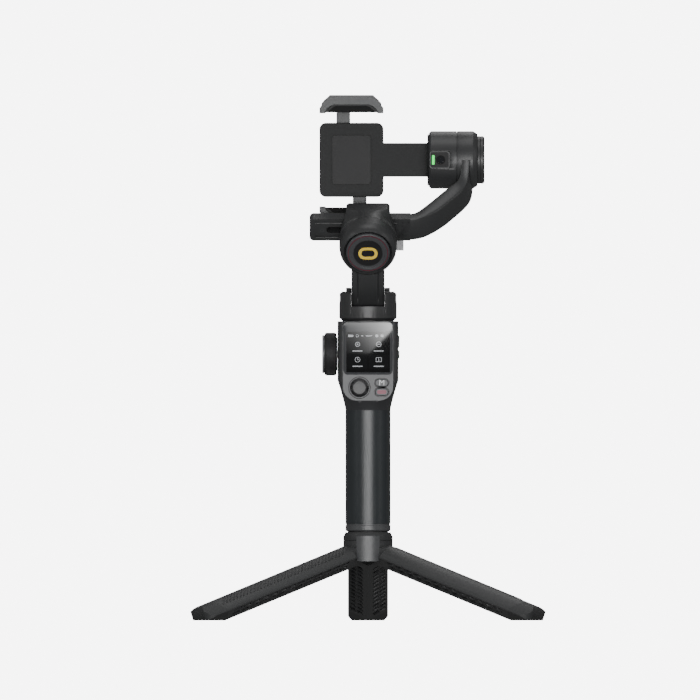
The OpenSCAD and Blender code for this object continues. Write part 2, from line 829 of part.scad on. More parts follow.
module stick_cap() color("#1d1d1f") at_stick() {
    y_cylinder(stick_stem_r, -stick_pivot_depth - stick_lift, stick_ring_t / 2);
    translate([0, 0, -stick_ring_r]) cylinder(r = stick_pin_r, h = 2 * stick_ring_r);
    translate([0, -stick_pivot_depth - stick_lift, 0]) y_revolve([
        [0, 0], [stick_d / 2, 0], [stick_d / 2, -stick_cap_t / 2],
        [stick_d / 2 - stick_cap_t / 2, -stick_cap_t], [0, -stick_cap_t * stick_dish_share]
    ]);
}

// Oval buttons of the panel
module button_shape(z, margin, depth) {
    translate([button_x, controls_y + depth, z]) rotate([90, 0, 0])
        linear_extrude(depth + button_proud) stadium(button_w + 2 * margin, button_h + 2 * margin);
}

module mode_button() color("#4b4d50") button_shape(mode_z, 0, button_t - button_proud);
module record_button() color("#a8485c") button_shape(record_z, 0, button_t - button_proud);

// Buttons and port on the right side
module side_stadium(z, length, margin, extra) {
    translate([head_w / 2 + side_proud - side_button_t - extra, 0, z]) rotate([90, 0, 90])
        linear_extrude(side_button_t + 2 * extra)
            rotate([0, 0, 90]) stadium(length + 2 * margin, side_button_w + 2 * margin);
}

module power_button() color("#1f2022") side_stadium(power_z, power_len, 0, 0);
module side_button() color("#1f2022") side_stadium(side_z, side_len, 0, 0);

module port_shape(wall) {
    translate([head_w / 2 - port_depth, port_y, port_z]) rotate([90, 0, 90])
        linear_extrude(port_depth + (wall > 0 ? cut : 0)) rotate([0, 0, 90])
            stadium(port_len - 2 * wall, port_w - 2 * wall);
}

module usb_port() color("#c0c0c0") difference() {
    port_shape(0);
    translate([port_wall, 0, 0]) port_shape(port_wall);
}

// Focus wheel on the left side
module at_wheel() { translate([-head_w / 2, 0, wheel_z]) children(); }

module focus_core() color("#3c3d3f") at_wheel() union() {
    x_cylinder(spindle_r, -cut, spindle_len);
    x_revolve([
        [0, -slide_gap], [wheel_foot_r, -slide_gap], [wheel_foot_r, -slide_gap - wheel_foot_t],
        [wheel_d / 2 - wheel_core_drop, -slide_gap - wheel_foot_t],
        [wheel_d / 2 - wheel_core_drop, wheel_face_x()], [wheel_d / 2 - wheel_rim_drop, wheel_face_x()],
        [wheel_d / 2 - wheel_rim_drop, wheel_face_x() - wheel_rim_t + wheel_foot_t],
        [wheel_d / 2 - wheel_rim_drop - wheel_foot_t, wheel_face_x() - wheel_rim_t],
        [wheel_foot_r * wheel_dish_shares[0], wheel_face_x() - wheel_rim_t],
        [wheel_foot_r * wheel_dish_shares[1], wheel_face_x() - wheel_rim_t / 2],
        [0, wheel_face_x() - wheel_rim_t / 2]
    ]);
}

function wheel_face_x() = -slide_gap - wheel_foot_t - tyre_w;

module focus_tyre() color("#191919") at_wheel() x_revolve([
    [wheel_d / 2 - wheel_core_drop, -slide_gap - wheel_foot_t],
    [wheel_d / 2 - wheel_foot_t, -slide_gap - wheel_foot_t],
    [wheel_d / 2, -slide_gap - 2 * wheel_foot_t], [wheel_d / 2, wheel_face_x() + wheel_foot_t],
    [wheel_d / 2 - wheel_foot_t, wheel_face_x()], [wheel_d / 2 - wheel_core_drop, wheel_face_x()]
]);

// Trigger on the back
module at_trigger() { translate([0, trigger_pin_y, trigger_pin_z]) children(); }

module trigger_2d() {
    circle(r = trigger_hub_r);
    intersection() {
        translate([0, -trigger_h]) square([2 * trigger_reach, trigger_h + trigger_hub_r]);
        translate([trigger_reach + trigger_curve_r, -trigger_h * trigger_mid_share]) difference() {
            circle(r = trigger_curve_r + trigger_t);
            circle(r = trigger_curve_r);
        }
    }
    translate([0, -trigger_hub_r]) square([trigger_reach, 2 * trigger_hub_r]);
}

module trigger() color("#1c1c1e") at_trigger() difference() {
    translate([-trigger_w / 2, 0, 0]) rotate([90, 0, 90]) linear_extrude(trigger_w) trigger_2d();
    x_cylinder(trigger_pin_r + run_gap, -trigger_w, trigger_w);
}

// Pocket behind the trigger's slot, its walls carrying the pin
module trigger_box() {
    wall = trigger_box_wall;
    at_trigger() translate([-trigger_w / 2 - slide_gap - wall, -trigger_slot_d - wall + trigger_hub_r,
        -trigger_h - cut - wall])
        cube([trigger_w + 2 * slide_gap + 2 * wall, head_back - shell_wall / 2 - trigger_pin_y + trigger_slot_d
            + wall - trigger_hub_r, trigger_h + cut + trigger_hub_r + slide_gap + 2 * wall]);
}

module trigger_room() {
    at_trigger() translate([-trigger_w / 2 - slide_gap, -trigger_slot_d + trigger_hub_r, -trigger_h - cut])
        cube([trigger_w + 2 * slide_gap, 4 * trigger_slot_d, trigger_h + cut + trigger_hub_r + slide_gap]);
}

module trigger_pin_solid() {
    at_trigger() x_cylinder(trigger_pin_r, -trigger_w / 2 - trigger_pin_end, trigger_w / 2 + trigger_pin_end);
}

module trigger_pin() color("#a0a0a0") trigger_pin_solid();

// Inside the head
module main_board() color("#1f6b3a") {
    board_w = head_w - 2 * shell_wall - 2 * cut - 2 * slide_gap;
    translate([-board_w / 2, board_y, head_z + taper_h]) cube([board_w, board_t, board_h - stator_h]);
}

module pan_stator() color("#9c5a2c") translate([0, 0, head_top_z - cavity_top - stator_h]) difference() {
    cylinder(r = pan_stator_r, h = stator_h);
    translate([0, 0, -cut]) cylinder(r = shaft_r + run_gap, h = stator_h + 2 * cut);
}

// Upper and lower pairs of screws, their heads sunk in the back
module upper_screws() {
    for (side = [-1, 1]) translate([side * upper_screw_x, screw_y, head_top_z - cavity_top - stator_h / 2])
        children();
}

module screw_places() {
    upper_screws() children();
    for (side = [-1, 1]) translate([side * lower_screw_x, screw_y, head_z + taper_h / 2]) children();
}

module shell_screws() color("#8d8d8d") screw_places() {
    y_cylinder(screw_head_r, -screw_head_t, 0);
    y_cylinder(screw_r, -screw_len, 0);
}

// Pan housing with the clevis of the fold

module pan_housing() color("#2c2d2f") difference() {
    union() {
        rotate_extrude() polygon([
            [0, pan_z], [motor_r - pan_chamfer, pan_z], [motor_r, pan_z + pan_chamfer],
            [motor_r, pan_top_z - pan_chamfer], [motor_r - pan_chamfer, pan_top_z], [0, pan_top_z]
        ]);
        translate([0, 0, fold_z])
            x_cylinder(ear_r, -arm_w / 2 - slide_gap - ear_step, arm_w / 2 + slide_gap + ear_step);
    }
    translate([-arm_w / 2 - slide_gap, -motor_d, lip_z]) cube([arm_w + 2 * slide_gap, 2 * motor_d, motor_d]);
    translate([-arm_w / 2 - slide_gap, 0, fold_z - arm_knuckle_r - knuckle_gap])
        cube([arm_w + 2 * slide_gap, motor_d, motor_d]);
    translate([0, 0, fold_z])
        x_cylinder(arm_knuckle_r + knuckle_gap, -arm_w / 2 - slide_gap, arm_w / 2 + slide_gap);
    translate([0, 0, fold_z]) x_cylinder(fold_pin_r, -pin_end_x(), pin_end_x());
    translate([0, 0, fold_z]) for (side = [0, 180]) rotate([0, 0, side])
        x_cylinder(cap_r, pin_end_x(), motor_d);
    translate([0, 0, pan_z - cut]) cylinder(r = shaft_r, h = pan_shaft_up + cut);
}

function pin_end_x() = motor_r - cap_inset - cap_t;

module fold_pin() color("#b5b5b5") translate([0, 0, fold_z]) x_cylinder(fold_pin_r, -pin_end_x(), pin_end_x());

module hinge_caps() color("#202123") translate([0, 0, fold_z]) for (side = [0, 180]) rotate([0, 0, side])
    x_cylinder(cap_r, pin_end_x(), pin_end_x() + cap_t);

module pan_shaft() color("#c2c2c2") translate([0, 0, pan_z - pan_shaft_down])
    cylinder(r = shaft_r, h = pan_shaft_down + pan_shaft_up);

// Folding arm with the roll motor's front half, in the roll frame

module roll_frame() { translate([0, roll_y, roll_z]) rotate([arm_lean, 0, 0]) children(); }

// Side view of the arm: y along the roll axis, z across it
module arm_side_2d() {
    translate([roll_axis_s, -arm_len]) circle(r = arm_knuckle_r);
    translate([roll_axis_s - arm_t / 2, -arm_len]) square([arm_t, arm_len - cavity_r]);
}

module fold_arm() color("#303133") roll_frame() difference() {
    union() {
        y_revolve([
            [0, roll_cap_t], [roll_cap_r + roll_cap_gap, roll_cap_t],
            for (i = [0:len(roll_bevel_places) - 1]) [motor_r - roll_bevel_drops[i], roll_bevel_places[i]],
            [motor_r, roll_seam], [0, roll_seam]
        ]);
        translate([-arm_w / 2, 0, 0]) rotate([90, 0, 90]) linear_extrude(arm_w) arm_side_2d();
    }
    y_cylinder(cavity_r, -cut, roll_seam - roll_back_wall);
    y_cylinder(roll_cap_r, -cut, roll_cap_t + cut);
    y_cylinder(shaft_r + seam_gap, 0, roll_seam + cut);
    translate([0, roll_axis_s, -arm_len]) x_cylinder(fold_pin_r + run_gap, -arm_w, arm_w);
    cover_shape(0);
}

// Cover let into the front of the arm, between the motor and the knuckle
module cover_shape(proud) {
    translate([-cover_w / 2, roll_axis_s - arm_t / 2 - proud, -arm_len + arm_knuckle_r - cover_margin])
        cube([cover_w, cover_sink + proud, arm_len - arm_knuckle_r - motor_r + 2 * cover_margin]);
}

module arm_cover() color("#3b3c3f") roll_frame() difference() {
    cover_shape(cover_t - cover_sink);
    y_cylinder(motor_r, -cut, roll_seam);
}

module roll_cap() color("#2a2a2d") roll_frame() difference() {
    y_revolve([
        [0, 0], [roll_cap_r - end_chamfer, 0], [roll_cap_r, end_chamfer],
        [roll_cap_r, roll_cap_t], [0, roll_cap_t]
    ]);
    y_cylinder(roll_cap_r * roll_dish_share, -cut, roll_dish_d);
}

module roll_stator() color("#9c5a2c") roll_frame() difference() {
    y_cylinder(stator_r, roll_seam - roll_back_wall - stator_h, roll_seam - roll_back_wall);
    y_cylinder(shaft_r + run_gap, -cut, roll_seam);
}

// Carriage: from the round motor half to the sleeve round the slide bar

function carriage_ring(s, w_share, h_share) = let (
    w = mix(motor_r, carriage_w / 2, w_share),
    h = mix(motor_r, carriage_half_h, h_share),
    r = mix(motor_r, carriage_corner, min(1, w_share))
) [for (p = outline(w, h, h, min(r, w, h), min(r, w, h))) [p[0], s, p[1]]];

module carriage_skin() {
    start = roll_seam + seam_gap;
    neck = [for (i = [0:len(neck_place_shares) - 1])
        carriage_ring(mix(start, bar_s, neck_place_shares[i]), neck_w_shares[i], neck_h_shares[i])];
    sleeve = [for (i = [0:len(sleeve_place_shares) - 1])
        carriage_ring(
            mix(bar_s, carriage_end_s, sleeve_place_shares[i]), sleeve_w_shares[i], sleeve_h_shares[i]
        )];
    skin(concat(neck, sleeve));
}

module roll_carriage() color("#2e2f31") roll_frame() difference() {
    carriage_skin();
    translate([-motor_d, bar_s - bar_gap, -bar_h / 2 - bar_gap])
        cube([2 * motor_d, bar_t + 2 * bar_gap, bar_h + 2 * bar_gap]);
    y_cylinder(shaft_r, 0, roll_seam + roll_shaft_in);
    y_cylinder(bolt_r, roll_seam, carriage_end_s + cut);
}

module roll_shaft() color("#c2c2c2") roll_frame()
    y_cylinder(shaft_r, roll_cap_t + roll_shaft_front, roll_seam + roll_shaft_in);

module clamp_bolt() color("#b0b0b0") roll_frame() {
    lever_end_s = carriage_end_s + lever_gap + lever_t;
    y_cylinder(bolt_r, roll_seam + roll_shaft_in, lever_end_s);
    y_cylinder(bolt_head_r, lever_end_s - bolt_head_t, lever_end_s);
}

// Lever that locks the slide bar: hub on the bolt, thumb tab below the bar's right part
module lock_lever() color("#a7a9ab") roll_frame() translate([0, carriage_end_s + lever_gap, 0]) difference() {
    union() {
        y_cylinder(lever_hub_r, 0, lever_t);
        translate([0, 0, -lever_w / 2]) cube([lever_x + tab_w / 2, lever_t, lever_w]);
        translate([lever_x - tab_w / 2, 0, -tab_drop]) cube([tab_w, lever_t, tab_drop]);
    }
    y_cylinder(bolt_r + run_gap, -cut, lever_t + cut);
    y_cylinder(bolt_head_r + run_gap, lever_t - bolt_head_t - run_gap, lever_t + cut);
}

// Slide bar, in the roll frame

module slide_bar() color("#2f3032") roll_frame() difference() {
    translate([0, bar_s + bar_t, 0]) rotate([90, 0, 0]) linear_extrude(bar_t) bar_2d();
    for (side = [-1, 1])
        translate([-bar_left + track_left, bar_s - cut, side * bar_h / 2 * groove_share - groove_w / 2])
        cube([bar_left + bar_right - track_left - track_right, groove_d + cut, groove_w]);
    translate([(slot_right - bar_left + slot_left) / 2, bar_s + bar_t + cut, 0]) rotate([90, 0, 0])
        linear_extrude(bar_t + 2 * cut) stadium(slot_right + bar_left - slot_left, slot_h);
}

module bar_2d() {
    translate([-bar_left + bar_corner, -bar_h / 2]) square([bar_left + bar_right - bar_corner, bar_h]);
    translate([-bar_left, -bar_h / 2 + bar_corner]) square([bar_left, bar_h - 2 * bar_corner]);
    for (side = [-1, 1]) translate([-bar_left + bar_corner, side * (bar_h / 2 - bar_corner)])
        circle(r = bar_corner);
}

// Side arm: swept from the bar's end to the front of the tilt motor's outer half

// Front top edge of the slide bar at its right end
function crease_start() = [bar_right,
    roll_y + bar_s * cos(arm_lean) - bar_h / 2 * sin(arm_lean),
    roll_z + bar_s * sin(arm_lean) + bar_h / 2 * cos(arm_lean)];
function crease_end() = [seam_x + arm_end_x, tilt_y - motor_r - arm_front_gap, tilt_z];

// Normals of the light inner face and of the dark outer face at a station
function light_normal(i) = let (d = arm_dirs[i], t = arm_turns[i])
    cos(t) * [-sin(d), 0, cos(d)] + sin(t) * [0, -1, 0];
function dark_normal(i) = let (d = arm_dirs[i], t = arm_turns[i])
    cos(t) * [0, -1, 0] - sin(t) * [-sin(d), 0, cos(d)];

function side_arm_ring(i) = let (
    a = crease_start(), b = crease_end(),
    crease = [mix(a[0], b[0], crease_x_shares[i]), mix(a[1], b[1], crease_y_shares[i]),
        mix(a[2], b[2], crease_z_shares[i])],
    across = bar_h * dark_shares[i], deep = bar_t * light_shares[i],
    up = light_normal(i), out = dark_normal(i)
) [for (p = chamfered(across, deep, side_arm_corner)) crease - up * p[0] - out * p[1]];

// Rectangle from the corner at zero, with cut corners
function chamfered(w, h, c) = [
    [c, 0], [w - c, 0], [w - c * turn_share, c * turn_share], [w, c],
    [w, h - c], [w - c * turn_share, h - c * turn_share],
    [w - c, h], [c, h], [c * turn_share, h - c * turn_share], [0, h - c], [0, c], [c * turn_share, c * turn_share]
];

module side_arm() color("#303134") difference() {
    union() {
        skin([for (i = [len(arm_dirs) - 1:-1:0]) side_arm_ring(i)]);
        translate([seam_x, tilt_y, tilt_z]) x_revolve([
            [0, 0], [motor_r, 0], [motor_r, tilt_outer_w - tilt_bevel],
            [motor_r - tilt_bevel_drop, tilt_outer_w], [0, tilt_outer_w]
        ]);
    }
    translate([0, tilt_y, tilt_z]) {
        x_cylinder(cavity_r, seam_x + tilt_back_wall, seam_x + tilt_outer_w + cut);
        x_cylinder(shaft_r + seam_gap, seam_x - cut, seam_x + tilt_outer_w);
        x_cylinder(motor_r + seam_gap, tilt_left_x - motor_d, seam_x);
    }
}

module tilt_cap() color("#28292b") translate([seam_x + tilt_outer_w, tilt_y, tilt_z]) x_revolve([
    [0, -tilt_cap_sink], [cavity_r, -tilt_cap_sink], [cavity_r, 0], [tilt_cap_r, 0],
    [tilt_cap_r, tilt_cap_w * tilt_line_shares[0]], [tilt_cap_r - tilt_line_d, tilt_cap_w * tilt_line_shares[1]],
    [tilt_cap_r, tilt_cap_w * tilt_line_shares[2]], [tilt_cap_r, tilt_cap_w - tilt_cap_chamfer],
    [tilt_cap_r - tilt_cap_chamfer, tilt_cap_w], [0, tilt_cap_w]
]);

module tilt_stator() color("#9c5a2c") translate([seam_x + tilt_back_wall, tilt_y, tilt_z]) difference() {
    x_cylinder(stator_r, 0, stator_h);
    x_cylinder(shaft_r + run_gap, -cut, stator_h + cut);
}

// Tilt rotor: the inner motor half with the sensor, and the back of the clamp

module tilt_housing() color("#303134") difference() {
    translate([tilt_left_x, tilt_y, tilt_z]) x_revolve([
        [0, 0], [motor_r - tilt_inner_chamfer, 0], [motor_r, tilt_inner_chamfer],
        [motor_r, tilt_inner_w], [0, tilt_inner_w]
    ]);
    sensor_room();
    translate([0, tilt_y, tilt_z]) x_cylinder(shaft_r, tilt_left_x + tilt_inner_w - tilt_shaft_in, seam_x);
}

module tilt_shaft() color("#c2c2c2") translate([0, tilt_y, tilt_z])
    x_cylinder(shaft_r, tilt_left_x + tilt_inner_w - tilt_shaft_in, seam_x + tilt_back_wall + stator_h);

module sensor_room() {
    translate([tilt_left_x + sensor_side, tilt_y - motor_r + sensor_depth, tilt_z - sensor_h / 2])
        translate([sensor_w / 2, 0, 0]) rotate([90, 0, 0])
            linear_extrude(2 * sensor_depth) plate_2d(sensor_w, sensor_h, sensor_corner, sensor_corner);
}

module sensor_window() color("#1a1b1c") difference() {
    translate([tilt_left_x + sensor_side + sensor_w / 2, tilt_y - motor_r + sensor_depth, tilt_z - sensor_h / 2])
        rotate([90, 0, 0]) linear_extrude(sensor_depth) plate_2d(sensor_w, sensor_h, sensor_corner, sensor_corner);
    at_lens() y_cylinder(lens_r, -cut, lens_t);
}

module at_lens() { translate([tilt_left_x + lens_x, tilt_y - motor_r, tilt_z]) children(); }

module sensor_lens() color("#0a0a0c") at_lens() y_cylinder(lens_r, lens_t * lens_sink_share, lens_t);

// Back of the clamp: a round flange on the motor, an arm behind the phone and the jaw block
module clamp_plate() color("#2a2b2d") {
    block_x = -jaw_offset;
    difference() {
        union() {
            translate([0, tilt_y, tilt_z]) x_cylinder(neck_r, tilt_left_x - neck_t, tilt_left_x);
            translate([block_x, clamp_front_y, tilt_z - clamp_arm_h / 2])
                cube([tilt_left_x - neck_t / 2 - block_x, clamp_t, clamp_arm_h]);
            translate([block_x, clamp_back_y, tilt_z - clamp_block_h / 2]) rotate([90, 0, 0])
                linear_extrude(clamp_t)
                    plate_2d(jaw_w, clamp_block_h, clamp_block_corner, clamp_block_corner);
        }
        for (side = [-1, 1]) tongue_room(side);
    }
}

module back_pad() color("#151515") translate([-jaw_offset, clamp_front_y, tilt_z - back_pad_h / 2])
    rotate([90, 0, 0]) linear_extrude(back_pad_t) plate_2d(back_pad_w, back_pad_h, jaw_lip, jaw_lip);

// Jaw tongues run side by side in two channels of the block: side -1 is the upper jaw's
function tongue_x(side) = -jaw_offset + side * (tongue_w + tongue_space) / 2 - tongue_w / 2;
function tongue_y() = clamp_front_y + (clamp_t - tongue_t) / 2;

module tongue_room(side) {
    room_len = tongue_in + jaw_close + slide_gap;
    mirror_z(side) translate([tongue_x(side) - slide_gap, tongue_y() - slide_gap, clamp_block_h / 2 - room_len])
        cube([tongue_w + 2 * slide_gap, tongue_t + 2 * slide_gap, room_len + cut]);
}

// Child shapes are drawn about the tilt axis, for the upper jaw; the lower jaw is their mirror
module mirror_z(side) { translate([0, 0, tilt_z]) mirror([0, 0, side < 0 ? 0 : 1]) children(); }

module jaw_2d(shares, height) {
    right = [for (p = shares) [p[0] * jaw_w, p[1] * height]];
    polygon(concat(right, [for (i = [len(right) - 1:-1:0]) [-right[i][0], right[i][1]]]));
}

module jaw(side) {
    mirror_z(side) {
        difference() {
            translate([-jaw_offset, clamp_back_y, phone_w / 2 - jaw_lip]) rotate([90, 0, 0])
                linear_extrude(clamp_back_y - phone_front_y + jaw_lip_t) difference() {
                    jaw_2d(jaw_outline_shares, jaw_h + jaw_lip);
                    jaw_2d(arch_outline_shares, pad_h + jaw_lip);
                    translate([-arch_outline_shares[0][0] * jaw_w, -cut])
                        square([2 * arch_outline_shares[0][0] * jaw_w, 2 * cut]);
                }
            translate([-jaw_offset - jaw_w, phone_front_y - slide_gap, 0])
                cube([2 * jaw_w, clamp_back_y - phone_front_y + slide_gap + cut, phone_w / 2]);
        }
        translate([tongue_x(side), tongue_y(), clamp_block_h / 2 - tongue_in])
            cube([tongue_w, tongue_t, phone_w / 2 - clamp_block_h / 2 + tongue_in + pad_h + pad_ridge_w]);
    }
}

module pad(side) {
    mirror_z(side) difference() {
        translate([-jaw_offset, clamp_back_y, phone_w / 2 - jaw_lip]) rotate([90, 0, 0])
            linear_extrude(clamp_back_y - phone_front_y + jaw_lip_t - pad_ridge)
                jaw_2d(arch_outline_shares, pad_h + jaw_lip);
        translate([-jaw_offset - jaw_w, phone_front_y - slide_gap, 0])
            cube([2 * jaw_w, clamp_back_y - phone_front_y + slide_gap + cut, phone_w / 2]);
        translate([-jaw_offset - jaw_w, phone_front_y - jaw_w, 0])
            cube([2 * jaw_w, jaw_w, phone_w / 2 - jaw_lip + pad_ridge]);
        translate([tongue_x(side) - run_gap, tongue_y() - run_gap, 0])
            cube([tongue_w + 2 * run_gap, clamp_t, phone_w]);
    }
}

module upper_jaw() color("#5d5f62") jaw(-1);
module lower_jaw() color("#5d5f62") jaw(1);
module upper_pad() color("#111111") pad(-1);
module lower_pad() color("#111111") pad(1);

grip_sleeve();
head_front_shell();
head_rear_shell();
control_panel();
screen_glass();
display_panel();
grip_end_ring();
thread_insert();
battery_cell();
battery_holder();
main_board();
usb_port();
pan_stator();
trigger_pin();
shell_screws();
trigger();
focus_core();
focus_tyre();
stick_pivot();
stick_cap();
mode_button();
record_button();
power_button();
side_button();
pan_housing();
pan_shaft();
fold_pin();
hinge_caps();
fold_arm();
arm_cover();
roll_cap();
roll_stator();
roll_carriage();
roll_shaft();
clamp_bolt();
lock_lever();
slide_bar();
side_arm();
tilt_cap();
tilt_stator();
tilt_housing();
tilt_shaft();
sensor_window();
sensor_lens();
clamp_plate();
back_pad();
upper_jaw();
upper_pad();
lower_jaw();
lower_pad();
hub_body();
hub_washer();
hub_stud();
leg_pins();
leg_front_left();
leg_front_right();
leg_rear();
foot_front_left();
foot_front_right();
foot_rear();
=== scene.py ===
import json
import math

import bmesh
import bpy
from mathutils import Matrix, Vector


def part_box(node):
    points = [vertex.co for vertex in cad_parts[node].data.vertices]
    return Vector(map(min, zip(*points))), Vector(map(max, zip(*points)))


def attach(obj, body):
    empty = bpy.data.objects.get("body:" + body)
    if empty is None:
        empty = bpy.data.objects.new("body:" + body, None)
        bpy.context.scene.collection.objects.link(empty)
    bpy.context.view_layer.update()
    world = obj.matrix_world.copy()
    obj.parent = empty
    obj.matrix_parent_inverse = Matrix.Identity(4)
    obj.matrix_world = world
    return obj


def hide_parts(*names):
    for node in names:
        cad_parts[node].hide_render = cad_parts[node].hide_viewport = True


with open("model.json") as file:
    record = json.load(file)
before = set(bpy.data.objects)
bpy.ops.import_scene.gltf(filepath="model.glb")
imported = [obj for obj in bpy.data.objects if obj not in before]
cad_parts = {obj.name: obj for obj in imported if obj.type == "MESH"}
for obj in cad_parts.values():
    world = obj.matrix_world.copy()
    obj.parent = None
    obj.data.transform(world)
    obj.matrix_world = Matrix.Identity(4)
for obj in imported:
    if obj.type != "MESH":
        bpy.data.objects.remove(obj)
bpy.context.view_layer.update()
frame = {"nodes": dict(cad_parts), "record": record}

nodes = frame["nodes"]
bodyOfNode = {}
for bodyName, names in frame["record"]["behaviour"]["bodies"].items():
    for name in names:
        bodyOfNode[name] = bodyName
print("frame loaded:", len(nodes), "nodes")


# helpers

def deselectAll():
    if bpy.context.mode != "OBJECT":
        bpy.ops.object.mode_set(mode="OBJECT")
    bpy.ops.object.select_all(action="DESELECT")


def pick(piece):
    deselectAll()
    piece.select_set(True)
    bpy.context.view_layer.objects.active = piece


def applyPlace():
    bpy.ops.object.transform_apply(location=True, rotation=True, scale=True)


def settle(piece, body, material, smoothAngle=35):
    pick(piece)
    applyPlace()
    bpy.ops.object.shade_smooth_by_angle(angle=math.radians(smoothAngle))
    piece.data.materials.clear()
    piece.data.materials.append(material)
    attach(piece, body)
    return piece


def edit(piece, mode="FACE"):
    pick(piece)
    bpy.ops.object.mode_set(mode="EDIT")
    bpy.ops.mesh.select_mode(type=mode)


def faceOutward():  # and leave edit mode
    bpy.ops.mesh.select_all(action="SELECT")
    bpy.ops.mesh.normals_make_consistent(inside=False)
    bpy.ops.object.mode_set(mode="OBJECT")


def selectFaces(piece, test):
    mesh = bmesh.from_edit_mesh(piece.data)
    for face in mesh.faces:
        face.select_set(bool(test(face)))
    mesh.select_flush_mode()
    bmesh.update_edit_mesh(piece.data)


def selectEdges(piece, test):
    mesh = bmesh.from_edit_mesh(piece.data)
    for edge in mesh.edges:
        edge.select_set(bool(test(edge.verts[1].co - edge.verts[0].co, edge)))
    bmesh.update_edit_mesh(piece.data)


def roundEdges(piece, width, segments, limit=30, miter="MITER_SHARP"):
    rounding = piece.modifiers.new("rounding", "BEVEL")
    rounding.width = width
    rounding.segments = segments
    rounding.limit_method = "ANGLE"
    rounding.angle_limit = math.radians(limit)
    rounding.miter_outer = miter
    pick(piece)
    bpy.ops.object.modifier_apply(modifier="rounding")


# materials

paintSet = {"broadScale": 38, "broadDetail": 3, "rampLow": 0.3, "rampHigh": 0.7, "fineDetail": 2, "bump": 0.6,
            "lineScale": 60, "lineAcross": 2600, "lineDark": 0.82, "glossBelow": 0.06, "glossAbove": 0.1}


def newMaterial(name):
    material = bpy.data.materials.new(name)
    material.use_nodes = True
    tree = material.node_tree
    return material, tree, tree.nodes["Principled BSDF"]


def connect(tree, node, inputs):
    for name, value in inputs.items():
        if isinstance(value, bpy.types.NodeSocket):
            tree.links.new(value, node.inputs[name])
        else:
            node.inputs[name].default_value = value
    return node


def addNode(tree, kind, inputs):
    return connect(tree, tree.nodes.new("ShaderNode" + kind), inputs)


def tintBetween(tree, share, dark, light, low=0, high=1):
    ramp = addNode(tree, "ValToRGB", {"Fac": share})
    for element, colour, place in zip(ramp.color_ramp.elements, (dark, light), (low, high)):
        element.color = list(colour) + [1]
        element.position = place
    return ramp.outputs["Color"]


def mapBetween(tree, share, low, high):
    return addNode(tree, "MapRange", {"Value": share, "To Min": low, "To Max": high}).outputs["Result"]


def mouldedPlastic(name, colour, roughness, grain=0.00035, depth=0.00003, spread=0.06, specular=0.5,
                   glossSpread=0.02):
    material, tree, shader = newMaterial(name)
    coords = addNode(tree, "TexCoord", {}).outputs["Object"]
    broad = addNode(tree, "TexNoise", {"Vector": coords, "Scale": paintSet["broadScale"],
                                       "Detail": paintSet["broadDetail"]}).outputs["Fac"]
    fine = addNode(tree, "TexNoise", {"Vector": coords, "Scale": 1 / grain,
                                      "Detail": paintSet["fineDetail"]}).outputs["Fac"]
    bump = addNode(tree, "Bump", {"Height": fine, "Strength": paintSet["bump"], "Distance": depth})
    dark = [c * (1 - spread) for c in colour]
    light = [min(1, c * (1 + spread)) for c in colour]
    connect(tree, shader, {
        "Base Color": tintBetween(tree, broad, dark, light, paintSet["rampLow"], paintSet["rampHigh"]),
        "Roughness": mapBetween(tree, broad, roughness - glossSpread, roughness + glossSpread),
        "Normal": bump.outputs["Normal"], "Specular IOR Level": specular,
    })
    return material


def turnedMetal(name, colour, roughness, axis):
    material, tree, shader = newMaterial(name)
    scale = [paintSet["lineScale"]] * 3
    scale[axis] = paintSet["lineAcross"]
    coords = addNode(tree, "TexCoord", {}).outputs["Object"]
    stretch = addNode(tree, "Mapping", {"Vector": coords, "Scale": scale}).outputs["Vector"]
    lines = addNode(tree, "TexNoise", {"Vector": stretch, "Scale": 1}).outputs["Fac"]
    low, high = roughness - paintSet["glossBelow"], roughness + paintSet["glossAbove"]
    connect(tree, shader, {
        "Base Color": tintBetween(tree, lines, [c * paintSet["lineDark"] for c in colour], colour),
        "Roughness": mapBetween(tree, lines, low, high), "Metallic": 1,
    })
    return material


